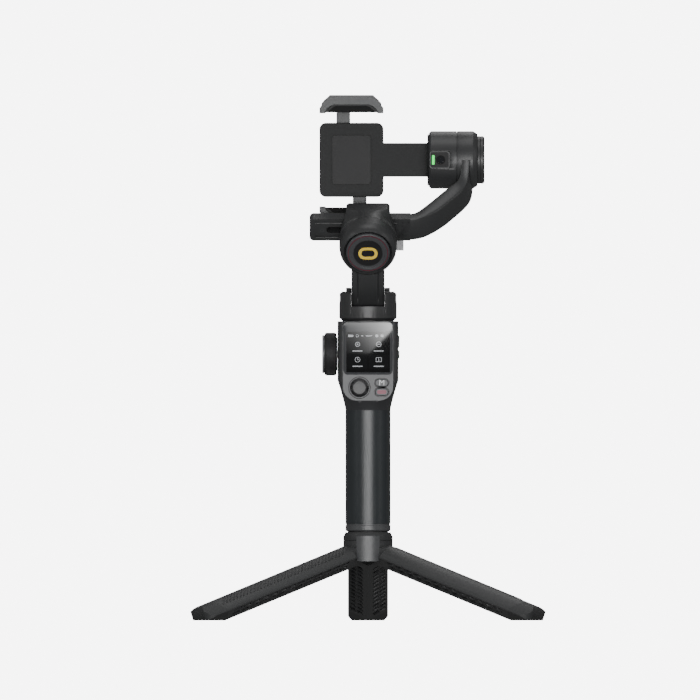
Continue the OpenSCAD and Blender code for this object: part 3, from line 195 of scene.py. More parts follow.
glassLook = {"depth": 0.0, "spread": 0.02, "specular": 0.6, "glossSpread": 0.006}
mouldings = {  # colour, roughness, and what departs from the usual
    "shellPlastic": ((0.034, 0.035, 0.037), 0.4, {}),
    "motorPlastic": ((0.036, 0.037, 0.038), 0.4, {}),
    "panelPlastic": ((0.095, 0.098, 0.102), 0.42, {}),
    "wheelPlastic": ((0.06, 0.062, 0.066), 0.38, {}),
    # light grey for the wheel's core and inner rim: painted highlight on the wheel's sides
    "wheelRim": ((0.15, 0.155, 0.16), 0.32, {}),
    "platePlastic": ((0.017, 0.0175, 0.018), 0.6, {"specular": 0.3}),
    "gripRubber": ((0.024, 0.028, 0.031), 0.34, {"grain": 0.0005, "depth": 0.00004, "spread": 0.08}),
    "blackRubber": ((0.012, 0.012, 0.013), 0.62, {"grain": 0.0006, "depth": 0.00005}),
    "legPlastic": ((0.033, 0.034, 0.035), 0.5, {"grain": 0.0005}),
    "footRubber": ((0.03, 0.031, 0.032), 0.6, {"grain": 0.0006, "depth": 0.00004}),
    "padPlastic": ((0.068, 0.07, 0.073), 0.36, {}),
    "blackPlastic": ((0.015, 0.015, 0.016), 0.4, {}),
    "jawPlastic": ((0.052, 0.054, 0.056), 0.45, {}),
    "holderPlastic": ((0.2, 0.2, 0.2), 0.5, {}),
    "recordPlastic": ((0.24, 0.06, 0.09), 0.42, {}),
    "boardGreen": ((0.03, 0.14, 0.06), 0.3, {}),
    "cellSleeve": ((0.06, 0.2, 0.42), 0.3, {}),
    "castLever": ((0.78, 0.79, 0.8), 0.35, {"spread": 0.03}),
    "letterWhite": ((0.75, 0.76, 0.77), 0.4, {"spread": 0.02}),
    "darkGlass": ((0.012, 0.013, 0.016), 0.02, glassLook),
    "frameGlass": ((0.05, 0.052, 0.055), 0.02, glassLook),
    "trimRed": ((0.1, 0.016, 0.028), 0.4, {"depth": 0.00001}),
    "trimGold": ((0.95, 0.66, 0.08), 0.3, {"spread": 0.03}),
    "inlayBlack": ((0.008, 0.008, 0.0085), 0.75, {"specular": 0.25}),
    "capGloss": ((0.014, 0.014, 0.015), 0.3, {"depth": 0.00001}),
}
metals = {  # colour, roughness, and the axis that the turning lines run across
    "coilCopper": ((0.6, 0.3, 0.14), 0.35, 1),
    "steel": ((0.6, 0.6, 0.61), 0.3, 2),
    "brass": ((0.72, 0.52, 0.24), 0.28, 2),
}
finishes = {}
for name, (colour, roughness, special) in mouldings.items():
    finishes[name] = mouldedPlastic(name, colour, roughness, **special)
for name, (colour, roughness, axis) in metals.items():
    finishes[name] = turnedMetal(name, colour, roughness, axis)
nodesOfFinish = {
    "gripRubber": ("grip_sleeve",),
    "shellPlastic": ("head_front_shell", "head_rear_shell", "arm_cover"),
    "panelPlastic": ("control_panel", "mode_button", "record_button"),
    "frameGlass": ("screen_glass",),
    "darkGlass": ("display_panel", "sensor_lens"),
    # the grip's end ring takes the lighter pad plastic as a painted highlight
    "padPlastic": ("grip_end_ring",),
    "brass": ("thread_insert",),
    "cellSleeve": ("battery_cell",),
    "holderPlastic": ("battery_holder",),
    "boardGreen": ("main_board",),
    "steel": ("usb_port", "trigger_pin", "shell_screws", "pan_shaft", "fold_pin", "roll_shaft",
        "clamp_bolt", "tilt_shaft", "hub_stud", "leg_pins"),
    "coilCopper": ("pan_stator", "roll_stator", "tilt_stator"),
    "blackPlastic": ("trigger", "stick_pivot", "stick_cap", "power_button", "side_button",
        "hinge_caps"),
    "wheelRim": ("focus_core",),
    "blackRubber": ("focus_tyre", "back_pad", "upper_pad", "lower_pad", "hub_washer"),
    "motorPlastic": ("pan_housing", "fold_arm", "roll_carriage", "slide_bar", "side_arm", "tilt_cap",
        "tilt_housing"),
    "wheelPlastic": ("roll_cap",),
    "castLever": ("lock_lever",),
    "platePlastic": ("sensor_window", "clamp_plate"),
    "jawPlastic": ("upper_jaw", "lower_jaw"),
    "legPlastic": ("hub_body", "leg_front_left", "leg_front_right", "leg_rear"),
    "footRubber": ("foot_front_left", "foot_front_right", "foot_rear"),
}
finishOfNode = {name: finish for finish, names in nodesOfFinish.items() for name in names}
for name, node in nodes.items():
    node.data.materials.clear()
    node.data.materials.append(finishes[finishOfNode[name]])
print("materials made:", len(finishes))

# rounded copies of the solids whose moulded edges show

copySet = {"merge": 0.000004, "flat": 0.8, "quadFace": 1, "quadShape": 60, "segments": 3, "weight": 100}
slotted = ("control_panel",)  # flat faces with holes in them stay in four-sided faces
turned = ("grip_sleeve",)  # round all over, so plain smooth shading suits it


def softCopy(nodeName, pieceName, width, smoothAngle=35, material=None):
    source = nodes[nodeName]
    piece = bpy.data.objects.new(pieceName, source.data.copy())
    bpy.context.scene.collection.objects.link(piece)
    pick(piece)
    bpy.ops.object.mode_set(mode="EDIT")
    bpy.ops.mesh.select_all(action="SELECT")
    bpy.ops.mesh.remove_doubles(threshold=copySet["merge"])
    if width and nodeName in slotted:
        bpy.ops.mesh.tris_convert_to_quads(face_threshold=math.radians(copySet["quadFace"]),
                                           shape_threshold=math.radians(copySet["quadShape"]))
    elif width:
        bpy.ops.mesh.dissolve_limited(angle_limit=math.radians(copySet["flat"]))
    bpy.ops.object.mode_set(mode="OBJECT")
    if width:
        roundEdges(piece, width, copySet["segments"], miter="MITER_ARC")
    bpy.ops.object.shade_smooth_by_angle(angle=math.radians(smoothAngle))
    if nodeName not in turned:
        weighting = piece.modifiers.new("weighting", "WEIGHTED_NORMAL")
        weighting.keep_sharp = True
        weighting.weight = copySet["weight"]
        bpy.ops.object.modifier_apply(modifier="weighting")
    piece.data.materials.clear()
    piece.data.materials.append(material or finishes[finishOfNode[nodeName]])
    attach(piece, bodyOfNode[nodeName])
    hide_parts(nodeName)
    return piece


roundings = {  # piece, material slot, edge radius
    "upper_jaw": ("upperJaw", "jaw_plastic", 0.0008),
    "lower_jaw": ("lowerJaw", "jaw_plastic", 0.0008),
    "clamp_plate": ("clampPlate", "motor_plastic", 0.0008),
    "lock_lever": ("lockLever", "lever_metal", 0.0005),
    "tilt_cap": ("tiltCap", "motor_plastic", 0.0003),
    "roll_cap": ("rollCap", "motor_plastic", 0.0004),
    "control_panel": ("controlPanel", "panel_plastic", 0.0004),
    "grip_end_ring": ("gripEndRing", "shell_plastic", 0.0003),
    "focus_core": ("focusCore", "panel_plastic", 0.0003),
    "trigger": ("trigger", "black_plastic", 0.0006),
    "mode_button": ("modeKey", "panel_plastic", 0.0006),
    "record_button": ("recordKey", "record_red", 0.0006),
    "power_button": ("powerKey", "black_plastic", 0.0005),
    "side_button": ("sideKey", "black_plastic", 0.0005),
    "back_pad": ("backPad", "black_rubber", 0.0003),
    "foot_front_left": ("footFrontLeft", "black_rubber", 0.0034),
    "foot_front_right": ("footFrontRight", "black_rubber", 0.0034),
    "foot_rear": ("footRear", "black_rubber", 0.0034),
}
smoothed = {  # piece, material slot, and the angle up to which its facets are shaded as one curve
    "roll_carriage": ("rollCarriage", "motor_plastic", 42),
    "fold_arm": ("foldArm", "motor_plastic", 30),
    "pan_housing": ("panHousing", "motor_plastic", 30),
    "tilt_housing": ("tiltHousing", "motor_plastic", 30),
    "head_front_shell": ("headFrontShell", "shell_plastic", 30),
    "head_rear_shell": ("headRearShell", "shell_plastic", 30),
    "slide_bar": ("slideBar", "motor_plastic", 30),
    "hub_body": ("hubBody", "leg_plastic", 30),
    "grip_sleeve": ("gripSleeve", "grip_rubber", 30),
    "leg_front_left": ("legFrontLeft", "leg_plastic", 25),
    "leg_front_right": ("legFrontRight", "leg_plastic", 25),
    "leg_rear": ("legRear", "leg_plastic", 25),
}
for nodeName, (pieceName, slotName, width) in roundings.items():
    softCopy(nodeName, pieceName + "Soft", width)
for nodeName, (pieceName, slotName, smoothAngle) in smoothed.items():
    softCopy(nodeName, pieceName + "Smooth", 0, smoothAngle)
print("rounded solids:", len(roundings), "smoothed solids:", len(smoothed))

# focus wheel

wheelSet = {
    "ribs": 80, "groove": 0.00022, "ribEdge": 0.00012, "lip": 0.0006, "seat": 0.0012,
    "shoulder": ((0, 0.0013), (0.0005, 0.0004), (0.0014, 0)),  # depth from the side, drop of the radius
    "rimRadius": 0.0128, "rimThick": 0.0007, "rimWall": 0.0024, "rimDish": 0.0003, "rimSides": 96,
    "outsideShare": 0.99, "ribFaceWidth": 0.0016, "match": 0.00005,
}


def makeFocusTyre():
    low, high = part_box("focus_tyre")
    middle = (low + high) / 2
    radius = (high.z - low.z) / 2
    coreRadius = (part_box("focus_core")[1].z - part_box("focus_core")[0].z) / 2
    deselectAll()
    bpy.ops.mesh.primitive_cylinder_add(vertices=wheelSet["ribs"] * 2, radius=radius, depth=high.x - low.x,
                                        location=middle, rotation=(0, math.radians(90), 0))
    tyre = bpy.context.object
    tyre.name = "focusTyreRibbed"
    applyPlace()
    edit(tyre)
    selectFaces(tyre, lambda face: abs(face.normal.x) > 0.9)
    bpy.ops.mesh.inset(thickness=wheelSet["lip"])
    bpy.ops.mesh.inset(thickness=radius - wheelSet["lip"] - coreRadius + wheelSet["seat"])
    bpy.ops.mesh.delete(type="FACE")
    bpy.ops.mesh.select_mode(type="EDGE")
    bpy.ops.mesh.select_all(action="DESELECT")
    bpy.ops.mesh.select_non_manifold()
    bpy.ops.mesh.bridge_edge_loops()
    for inward, drop in wheelSet["shoulder"][1:]:
        for x in (low.x + inward, high.x - inward):
            bpy.ops.mesh.select_all(action="SELECT")
            bpy.ops.mesh.bisect(plane_co=(x, 0, 0), plane_no=(1, 0, 0))
    outside = radius * wheelSet["outsideShare"]
    ribArea = wheelSet["shoulder"][2][0] * wheelSet["ribFaceWidth"]  # smaller faces are the shoulders'
    mesh = bmesh.from_edit_mesh(tyre.data)
    for vertex in mesh.verts:
        fromMiddle = Vector((0, vertex.co.y - middle.y, vertex.co.z - middle.z))
        inside = min(vertex.co.x - low.x, high.x - vertex.co.x)
        for inward, drop in wheelSet["shoulder"]:
            if fromMiddle.length > outside and abs(inside - inward) < wheelSet["match"]:
                vertex.co -= fromMiddle.normalized() * drop
    bmesh.update_edit_mesh(tyre.data)
    bpy.ops.mesh.select_mode(type="FACE")
    selectFaces(tyre, lambda face: abs(face.normal.x) < 0.1 and radialOf(face, middle) > outside
                and face.calc_area() > ribArea
                and int(angleOf(face, middle) * wheelSet["ribs"] * 2) % 2)
    bpy.ops.mesh.inset(thickness=wheelSet["ribEdge"])
    bpy.ops.transform.shrink_fatten(value=-wheelSet["groove"])
    faceOutward()
    settle(tyre, "focus_wheel", finishes["blackRubber"], 30)
    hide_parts("focus_tyre")
    # ring on the wheel's inner side, its light grey a painted highlight where the core meets the head
    bpy.ops.mesh.primitive_cylinder_add(
        vertices=wheelSet["rimSides"], radius=wheelSet["rimRadius"], depth=wheelSet["rimThick"],
        location=(high.x + wheelSet["rimThick"] / 2, middle.y, middle.z), rotation=(0, math.radians(90), 0))
    rim = bpy.context.object
    rim.name = "focusInnerRim"
    applyPlace()
    edit(rim)
    selectFaces(rim, lambda face: face.normal.x > 0.9)
    bpy.ops.mesh.inset(thickness=wheelSet["rimWall"])
    bpy.ops.transform.translate(value=(-wheelSet["rimDish"], 0, 0))
    bpy.ops.object.mode_set(mode="OBJECT")
    settle(rim, "focus_wheel", finishes["wheelRim"], 30)


def radialOf(face, middle):
    offset = face.calc_center_median() - middle
    return math.hypot(offset.y, offset.z)


def angleOf(face, middle):
    offset = face.calc_center_median() - middle
    return (math.atan2(offset.z, offset.y) / (2 * math.pi)) % 1


makeFocusTyre()
print("focus wheel made")

# plates and discs that lie on the front


def frontPlate(x, z, width, height, corner, front, thickness, steps=4):
    bpy.ops.mesh.primitive_cube_add(size=1, location=(x, front - thickness / 2, z),
                                    scale=(width, thickness, height))
    plate = bpy.context.object
    applyPlace()
    if corner:
        edit(plate, "EDGE")
        selectEdges(plate, lambda along, edge: abs(along.x) < 1e-7 and abs(along.z) < 1e-7)
        bpy.ops.mesh.bevel(offset=corner, segments=steps, affect="EDGES")
        bpy.ops.object.mode_set(mode="OBJECT")
    return plate


def frontDisc(x, z, radius, front, thickness, sides=24):
    bpy.ops.mesh.primitive_cylinder_add(
        vertices=sides, radius=radius, depth=thickness,
        location=(x, front - thickness / 2, z), rotation=(math.radians(90), 0, 0))
    applyPlace()
    return bpy.context.object


def hollowOut(plate, wall):
    edit(plate)
    selectFaces(plate, lambda face: abs(face.normal.y) > 0.9)
    bpy.ops.mesh.inset(thickness=wall)
    bpy.ops.mesh.delete(type="FACE")
    bpy.ops.mesh.select_mode(type="EDGE")
    bpy.ops.mesh.select_non_manifold()
    bpy.ops.mesh.bridge_edge_loops()
    faceOutward()


def frontRing(x, z, outer, inner, front, thickness, sides=48):
    ring = frontDisc(x, z, outer, front, thickness, sides)
    hollowOut(ring, outer - inner)
    return ring


def frontFrame(x, z, width, height, corner, wall, front, thickness, steps=4):
    outline = frontPlate(x, z, width, height, corner, front, thickness, steps)
    hollowOut(outline, wall)
    return outline


def joinAll(parts, name):
    deselectAll()
    for part in parts:
        part.select_set(True)
    bpy.context.view_layer.objects.active = parts[0]
    bpy.ops.object.join()
    joined = bpy.context.object
    joined.name = name
    return joined


glowSet = {"cellScale": 900, "dark": 0.9, "roughness": 0.02, "specular": 0.6}
glows = {  # colour and strength
    "displayField": ((0.002, 0.0021, 0.0024), 0.05),
    "screenTiles": ((0.004, 0.0043, 0.005), 0.2),
    "screenMarks": ((0.42, 0.43, 0.45), 0.4),
    "sensorLed": ((0.03, 0.8, 0.12), 1.6),
}


def glowing(name):
    colour, strength = glows[name]
    material, tree, shader = newMaterial(name)
    coords = addNode(tree, "TexCoord", {}).outputs["Object"]
    cells = addNode(tree, "TexNoise", {"Vector": coords, "Scale": glowSet["cellScale"]}).outputs["Fac"]
    tint = tintBetween(tree, cells, [c * glowSet["dark"] for c in colour], colour)
    connect(tree, shader, {"Emission Color": tint, "Base Color": tint, "Emission Strength": strength,
                           "Roughness": glowSet["roughness"], "Specular IOR Level": glowSet["specular"]})
    return material


# screen

screenSet = {
    "edge": 0.0003, "proud": 0.00003, "thickness": 0.00012,
    "left": -0.0166, "right": 0.0168, "top": 0.2219, "bottom": 0.1906,
    "statusZ": 0.2186, "tileGap": 0.0009, "tileTop": 0.2160, "tileBottom": 0.1934,
    "fieldCorner": 0.0004, "tileCorner": 0.0008, "iconShare": 0.14, "labelShare": -0.33,
    "labelWide": 0.5, "labelTall": 0.0008, "labelCorner": 0.0003,
}
icons = {  # by column and row: kind, x, z, then outer and inner radius, radius, or width and height
    (0, 0): (("ring", 0, 0, 0.0021, 0.0017, 48), ("bar", 0, 0.0006, 0.0004, 0.0013, 0),
             ("bar", 0.0004, 0, 0.0011, 0.0004, 0)),
    (0, 1): (("ring", 0, 0, 0.0019, 0.0014, 48), ("disc", 0, 0, 0.0006)),
    (1, 0): (("bar", 0, 0.0016, 0.0044, 0.0004, 0), ("bar", 0, -0.0016, 0.0044, 0.0004, 0),
             ("bar", -0.002, 0, 0.0004, 0.003, 0), ("bar", 0.002, 0, 0.0004, 0.003, 0),
             ("bar", 0, 0, 0.0004, 0.003, 0)),
    (1, 1): (("ring", 0, 0, 0.0021, 0.0016, 48), ("bar", 0, 0, 0.0024, 0.0005, 0)),
}
statusMarks = (("bar", 0.0032, 0, 0.0036, 0.0018, 0.0003), ("bar", 0.0053, 0, 0.0004, 0.0008, 0),
               ("ring", 0.0083, 0, 0.0011, 0.0008, 24), ("bar", 0.0122, 0, 0.0018, 0.0006, 0.0002),
               ("bar", 0.0174, 0, 0.0052, 0.0007, 0.0002), ("disc", 0.0234, 0, 0.0012),
               ("disc", 0.0275, 0, 0.0012))


def drawMarks(parts, x, z, front, thick):
    drawn = []
    for kind, partX, partZ, *sizes in parts:
        if kind == "ring":
            drawn.append(frontRing(x + partX, z + partZ, sizes[0], sizes[1], front, thick, sizes[2]))
        elif kind == "disc":
            drawn.append(frontDisc(x + partX, z + partZ, sizes[0], front, thick))
        else:
            drawn.append(frontPlate(x + partX, z + partZ, *sizes, front, thick))
    return drawn


def makeScreen():
    softCopy("screen_glass", "screenGlass", screenSet["edge"])
    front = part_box("screen_glass")[0].y - screenSet["proud"]
    thick = screenSet["thickness"]
    left, right = screenSet["left"], screenSet["right"]
    middleX = (left + right) / 2
    field = frontPlate(middleX, (screenSet["top"] + screenSet["bottom"]) / 2, right - left,
                       screenSet["top"] - screenSet["bottom"], screenSet["fieldCorner"], front, thick)
    field.name = "displayField"
    settle(field, "handle", glowing("displayField"))
    tileFront = front - thick
    tileWidth = (right - left - 3 * screenSet["tileGap"]) / 2
    tileHeight = (screenSet["tileTop"] - screenSet["tileBottom"] - screenSet["tileGap"]) / 2
    tiles, marks = [], []
    for column in (0, 1):
        for row in (0, 1):
            x = left + screenSet["tileGap"] * (1 + column) + tileWidth * (column + 0.5)
            z = screenSet["tileBottom"] + screenSet["tileGap"] * row + tileHeight * (row + 0.5)
            tiles.append(frontPlate(x, z, tileWidth, tileHeight, screenSet["tileCorner"], tileFront, thick))
            marks.append(frontPlate(x, z + tileHeight * screenSet["labelShare"],
                                    tileWidth * screenSet["labelWide"], screenSet["labelTall"],
                                    screenSet["labelCorner"], tileFront - thick, thick))
            marks += drawMarks(icons[column, row], x, z + tileHeight * screenSet["iconShare"],
                               tileFront - thick, thick)
    marks += drawMarks(statusMarks, left, screenSet["statusZ"], tileFront, thick)
    tilePlates = joinAll(tiles, "screenTiles")
    settle(tilePlates, "handle", glowing("screenTiles"))
    screenMarks = joinAll(marks, "screenMarks")
    settle(screenMarks, "handle", glowing("screenMarks"))


makeScreen()
print("screen made")

# joystick ring and cap

stickSet = {"bezelOuter": 0.0086, "bezelInner": 0.0080, "bezelHeight": 0.0003, "bezelSides": 72,
            "sunk": 0.0001, "edge": 0.0002, "steps": 2}


def makeStick():
    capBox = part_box("stick_cap")
    x = (capBox[0].x + capBox[1].x) / 2
    z = (capBox[0].z + capBox[1].z) / 2
    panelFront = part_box("control_panel")[0].y
    bezel = frontRing(x, z, stickSet["bezelOuter"], stickSet["bezelInner"], panelFront + stickSet["sunk"],
                      stickSet["bezelHeight"] + stickSet["sunk"], stickSet["bezelSides"])
    roundEdges(bezel, stickSet["edge"], stickSet["steps"])
    bezel.name = "stickBezel"
    settle(bezel, "handle", finishes["blackPlastic"])
    softCopy("stick_cap", "stickCapSoft", stickSet["edge"],
             material=finishes["motorPlastic"])


makeStick()
print("joystick made")

# tripod legs: fine slanted grip ribs on one half of each, in the leg's own directions

ribSet = {"pitch": 0.0032, "width": 0.0015, "height": 0.0005, "from": 0.010, "to": 0.128, "sunk": 0.0002,
          "lowAngle": 2, "highAngle": 36, "slant": 0.0082, "steps": 6, "fade": 2.5, "lowShare": 0.1,
          "topShare": 0.5}
legSet = {"radius": 0.0186, "pinRadius": 0.010, "pinHeight": 0.05179, "slope": 19.7,
          "azimuths": {"leg_front_left": 210, "leg_front_right": -30, "leg_rear": 90}}


def onLeg(azimuth, angle, radius, along):
    turn = math.radians(90 - legSet["slope"])
    x = radius * math.cos(math.radians(angle)) - legSet["pinRadius"]
    side = radius * math.sin(math.radians(angle))
    out = legSet["pinRadius"] + x * math.cos(turn) + along * math.sin(turn)
    up = legSet["pinHeight"] + x * math.sin(turn) - along * math.cos(turn)
    a = math.radians(azimuth)
    return Vector((out * math.cos(a) - side * math.sin(a), out * math.sin(a) + side * math.cos(a), up))


def makeLegRibs(nodeName, azimuth):
    count = int((ribSet["to"] - ribSet["from"]) / ribSet["pitch"])
    deselectAll()
    bpy.ops.mesh.primitive_cube_add(size=1)
    rib = bpy.context.object
    edit(rib, "EDGE")
    selectEdges(rib, lambda along, edge: abs(along.x) > 0.5)
    bpy.ops.mesh.subdivide(number_cuts=ribSet["steps"])
    bpy.ops.object.mode_set(mode="OBJECT")
    template = rib.data.copy()
    ribs = []
    for index in range(count):
        one = rib
        if index:
            one = bpy.data.objects.new("rib", template.copy())
            bpy.context.scene.collection.objects.link(one)
        start = ribSet["from"] + index * ribSet["pitch"]
        for vertex in one.data.vertices:
            share = vertex.co.x + 0.5
            angle = ribSet["lowAngle"] + share * (ribSet["highAngle"] - ribSet["lowAngle"])
            width = ribSet["width"] * (1 if vertex.co.z < 0 else ribSet["topShare"])
            along = start + share * ribSet["slant"] + vertex.co.y * width
            height = ribSet["height"] * min(1, ribSet["lowShare"] + share * ribSet["fade"])
            radius = legSet["radius"] - ribSet["sunk"] + (vertex.co.z + 0.5) * (height + ribSet["sunk"])
            vertex.co = onLeg(azimuth, angle, radius, along)
        ribs.append(one)
    joined = joinAll(ribs, "gripRibs_" + nodeName)
    edit(joined)
    faceOutward()
    settle(joined, nodeName, finishes["legPlastic"])


for nodeName, azimuth in legSet["azimuths"].items():
    makeLegRibs(nodeName, azimuth)
print("leg ribs made")

# sensor on the tilt motor

sensorSet = {"ledX": 0.05015, "ledWidth": 0.0019, "ledHeight": 0.0072, "ledCorner": 0.0004,
             "lensX": 0.0558, "rimOuter": 0.0035, "rimInner": 0.0027, "proud": 0.00002, "thick": 0.0003}


def makeSensor():
    low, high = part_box("sensor_window")
    middleZ = (low.z + high.z) / 2
    front = low.y - sensorSet["proud"]
    led = frontPlate(sensorSet["ledX"], middleZ, sensorSet["ledWidth"], sensorSet["ledHeight"],
                     sensorSet["ledCorner"], front, sensorSet["thick"])
    led.name = "sensorLed"
    settle(led, "phone_clamp", glowing("sensorLed"))
    rim = frontRing(sensorSet["lensX"], middleZ, sensorSet["rimOuter"], sensorSet["rimInner"], front,
                    sensorSet["thick"])
    rim.name = "sensorLensRim"
    settle(rim, "phone_clamp", finishes["inlayBlack"])


makeSensor()
print("sensor made")

# face of the folding arm and rings on the roll motor, made level and then leaned with the arm

rollSet = {"y": -0.03343, "z": 0.28195, "lean": 30}


def leanOnRoll(piece):
    pick(piece)
    piece.location = (0, rollSet["y"], rollSet["z"])
    piece.rotation_euler = (math.radians(rollSet["lean"]), 0, 0)
    applyPlace()


armSet = {"width": 0.0250, "front": 0.0042, "thickness": 0.0022, "top": -0.0165, "bottom": -0.0486,
          "lineAt": 0.0078, "lineWidth": 0.0006, "lineDepth": 0.0007, "lineShare": 0.3,
          "edge": 0.0004, "edgeSteps": 3, "edgeAngle": 40}


def makeArmFace():
    height = armSet["top"] - armSet["bottom"]
    middle = (0, armSet["front"] + armSet["thickness"] / 2, (armSet["top"] + armSet["bottom"]) / 2)
    bpy.ops.mesh.primitive_cube_add(size=1, location=middle,
                                    scale=(armSet["width"], armSet["thickness"], height))
    face = bpy.context.object
    face.name = "armFace"
    applyPlace()
    edit(face)
    for side in (-1, 1):
        for shift in (-0.5, 0.5):
            x = side * armSet["lineAt"] + shift * armSet["lineWidth"]
            bpy.ops.mesh.select_all(action="SELECT")
            bpy.ops.mesh.bisect(plane_co=(x, 0, 0), plane_no=(1, 0, 0))
    selectFaces(face, lambda f: f.normal.y < -0.9
                and abs(abs(f.calc_center_median().x) - armSet["lineAt"])
                < armSet["lineWidth"] * armSet["lineShare"])
    bpy.ops.mesh.extrude_region_move(TRANSFORM_OT_translate={"value": (0, armSet["lineDepth"], 0)})
    faceOutward()
    roundEdges(face, armSet["edge"], armSet["edgeSteps"], armSet["edgeAngle"])
    leanOnRoll(face)
    settle(face, "fold_arm", finishes["motorPlastic"])
    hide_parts("arm_cover")


capSet = {"redOuter": 0.0155, "redInner": 0.0149, "discRadius": 0.0112, "rise": 0.00035,
          "sunk": 0.0001, "discSunk": 0.0004, "discEdge": 0.0007, "step": 0.00015, "stepEdge": 0.0002,
          "sides": 96, "markHeight": 0.0104, "markWidth": 0.0148, "markWall": 0.0023, "roundShare": 0.49,
          "markProud": 0.0001, "markThick": 0.0003, "markSteps": 10}


def makeCapRings():
    redRing = frontRing(0, 0, capSet["redOuter"], capSet["redInner"], capSet["sunk"], capSet["rise"],
                        capSet["sides"])
    redRing.name = "capRedRing"
    leanOnRoll(redRing)
    settle(redRing, "fold_arm", finishes["trimRed"])
    disc = frontDisc(0, 0, capSet["discRadius"], capSet["discSunk"], capSet["rise"], capSet["sides"])
    disc.name = "capDisc"
    edit(disc)
    selectFaces(disc, lambda f: f.normal.y < -0.9)
    bpy.ops.mesh.inset(thickness=capSet["discEdge"])
    bpy.ops.mesh.extrude_region_move(TRANSFORM_OT_translate={"value": (0, -capSet["step"], 0)})
    bpy.ops.mesh.inset(thickness=capSet["stepEdge"])
    faceOutward()
    leanOnRoll(disc)
    settle(disc, "fold_arm", finishes["capGloss"])
    mark = frontFrame(0, 0, capSet["markWidth"], capSet["markHeight"],
                      capSet["markHeight"] * capSet["roundShare"], capSet["markWall"], -capSet["markProud"],
                      capSet["markThick"], capSet["markSteps"])
    mark.name = "capMark"
    leanOnRoll(mark)
    settle(mark, "fold_arm", finishes["trimGold"])


makeArmFace()
makeCapRings()
print("arm face and cap rings made")

# dark rings inside the motor seams, painted shade that fills the gaps, and a lip under the hub


seamSet = {"tiltOuter": 0.0213, "tiltInner": 0.0120, "tiltFrom": 0.0679, "tiltThick": 0.0005,
           "neckOuter": 0.0197, "neckInner": 0.0090, "neckTop": 0.2307, "neckThick": 0.00083,
           "hubOuter": 0.0158, "hubInner": 0.0122, "hubTop": 0.0566, "hubThick": 0.00041,
           "foldRadius": 0.0081, "foldInner": 0.0026, "foldSide": 0.01272, "foldThick": 0.0004,
           "sides": 96, "foldSides": 64}


def putRing(name, sizes, sides, place, turn, look):
    ring = frontRing(0, 0, seamSet[sizes[0]], seamSet[sizes[1]], 0, seamSet[sizes[2]], seamSet[sides])
    pick(ring)
    ring.name = name
    ring.location = place
    ring.rotation_euler = [math.radians(angle) for angle in turn]
    applyPlace()
    body, slotName, finish = look
    settle(ring, body, finishes[finish])


def makeSeamRings():
    low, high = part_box("tilt_housing")
    # black ring in the tilt seam: painted shade
    putRing("tiltSeamRing", ("tiltOuter", "tiltInner", "tiltThick"), "sides",
            (seamSet["tiltFrom"], (low.y + high.y) / 2, (low.z + high.z) / 2), (0, 0, 90),
            ("phone_clamp", "black_plastic", "blackPlastic"))
    # black ring under the pan housing: painted shade in the gap above the head
    putRing("panNeckRing", ("neckOuter", "neckInner", "neckThick"), "sides",
            (0, 0, seamSet["neckTop"]), (90, 0, 0), ("pan_rotor", "black_plastic", "blackPlastic"))
    putRing("hubUnderLip", ("hubOuter", "hubInner", "hubThick"), "sides",
            (0, 0, seamSet["hubTop"]), (90, 0, 0), ("tripod_hub", "leg_plastic", "legPlastic"))
    low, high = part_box("fold_pin")
    # black rings beside the fold arm on the pin: painted shade in the hinge gaps
    starts = {"foldWasherLeft": -seamSet["foldSide"] - seamSet["foldThick"],
              "foldWasherRight": seamSet["foldSide"]}
    for name, start in starts.items():
        putRing(name, ("foldRadius", "foldInner", "foldThick"), "foldSides",
                (start, (low.y + high.y) / 2, (low.z + high.z) / 2), (0, 0, 90),
                ("pan_rotor", "black_plastic", "blackPlastic"))


makeSeamRings()

# black plate behind the slot of the slide bar as painted shade in the slot, its screw heads and small mark

barSet = {"sunk": 0.0001, "slotShadeLeft": -0.0345, "slotShadeRight": -0.0190, "slotShadeHeight": 0.0080,
          "slotShadeFront": 0.04595, "slotShadeThick": 0.0011, "slotShadeCorner": 0.0012, "face": 0.0360,
          "dotRadius": 0.00062, "dotHole": 0.45, "dotDepth": 0.0002, "dotSides": 16,
          "dots": ((0.0265, 0.0062), (0.0265, 0.0035), (0.0265, -0.0041), (0.0312, 0.0066)),
          "markX": -0.0353, "markH": -0.0005, "markOuter": 0.0015, "markInner": 0.0011,
          "markThick": 0.00014, "markSides": 32}


def makeBarTrim():
    width = barSet["slotShadeRight"] - barSet["slotShadeLeft"]
    face = barSet["face"] + barSet["sunk"]
    # black plate behind the slot: painted shade seen through it
    shadePlate = frontPlate(barSet["slotShadeLeft"] + width / 2, 0, width, barSet["slotShadeHeight"],
                       barSet["slotShadeCorner"], barSet["slotShadeFront"] + barSet["slotShadeThick"],
                       barSet["slotShadeThick"])
    shadePlate.name = "slotGuide"
    leanOnRoll(shadePlate)
    settle(shadePlate, "roll_rotor", finishes["blackPlastic"])
    dots = []
    for x, h in barSet["dots"]:
        dots.append(frontRing(x, h, barSet["dotRadius"], barSet["dotRadius"] * barSet["dotHole"], face,
                              barSet["dotDepth"], barSet["dotSides"]))
    screws = joinAll(dots, "barDots")
    leanOnRoll(screws)
    settle(screws, "balance_bar", finishes["blackPlastic"])
    mark = frontRing(barSet["markX"], barSet["markH"], barSet["markOuter"], barSet["markInner"], face,
                     barSet["markThick"], barSet["markSides"])
    mark.name = "barMark"
    leanOnRoll(mark)
    settle(mark, "balance_bar", finishes["jawPlastic"])


makeBarTrim()
print("seam rings and bar trim made")

# dark frames round the two keys, the red field on one and the letter on the other

keySet = {"gap": 0.0003, "wall": 0.00075, "rise": 0.0002, "letterSize": 0.0060, "letterThick": 0.00006,
          "recordWidth": 0.0072, "recordHeight": 0.0030, "recordProud": 0.00005, "recordThick": 0.0002,
          "recordSteps": 6, "roundShare": 0.49, "sunk": 0.0002, "letterSunk": 0.00003}


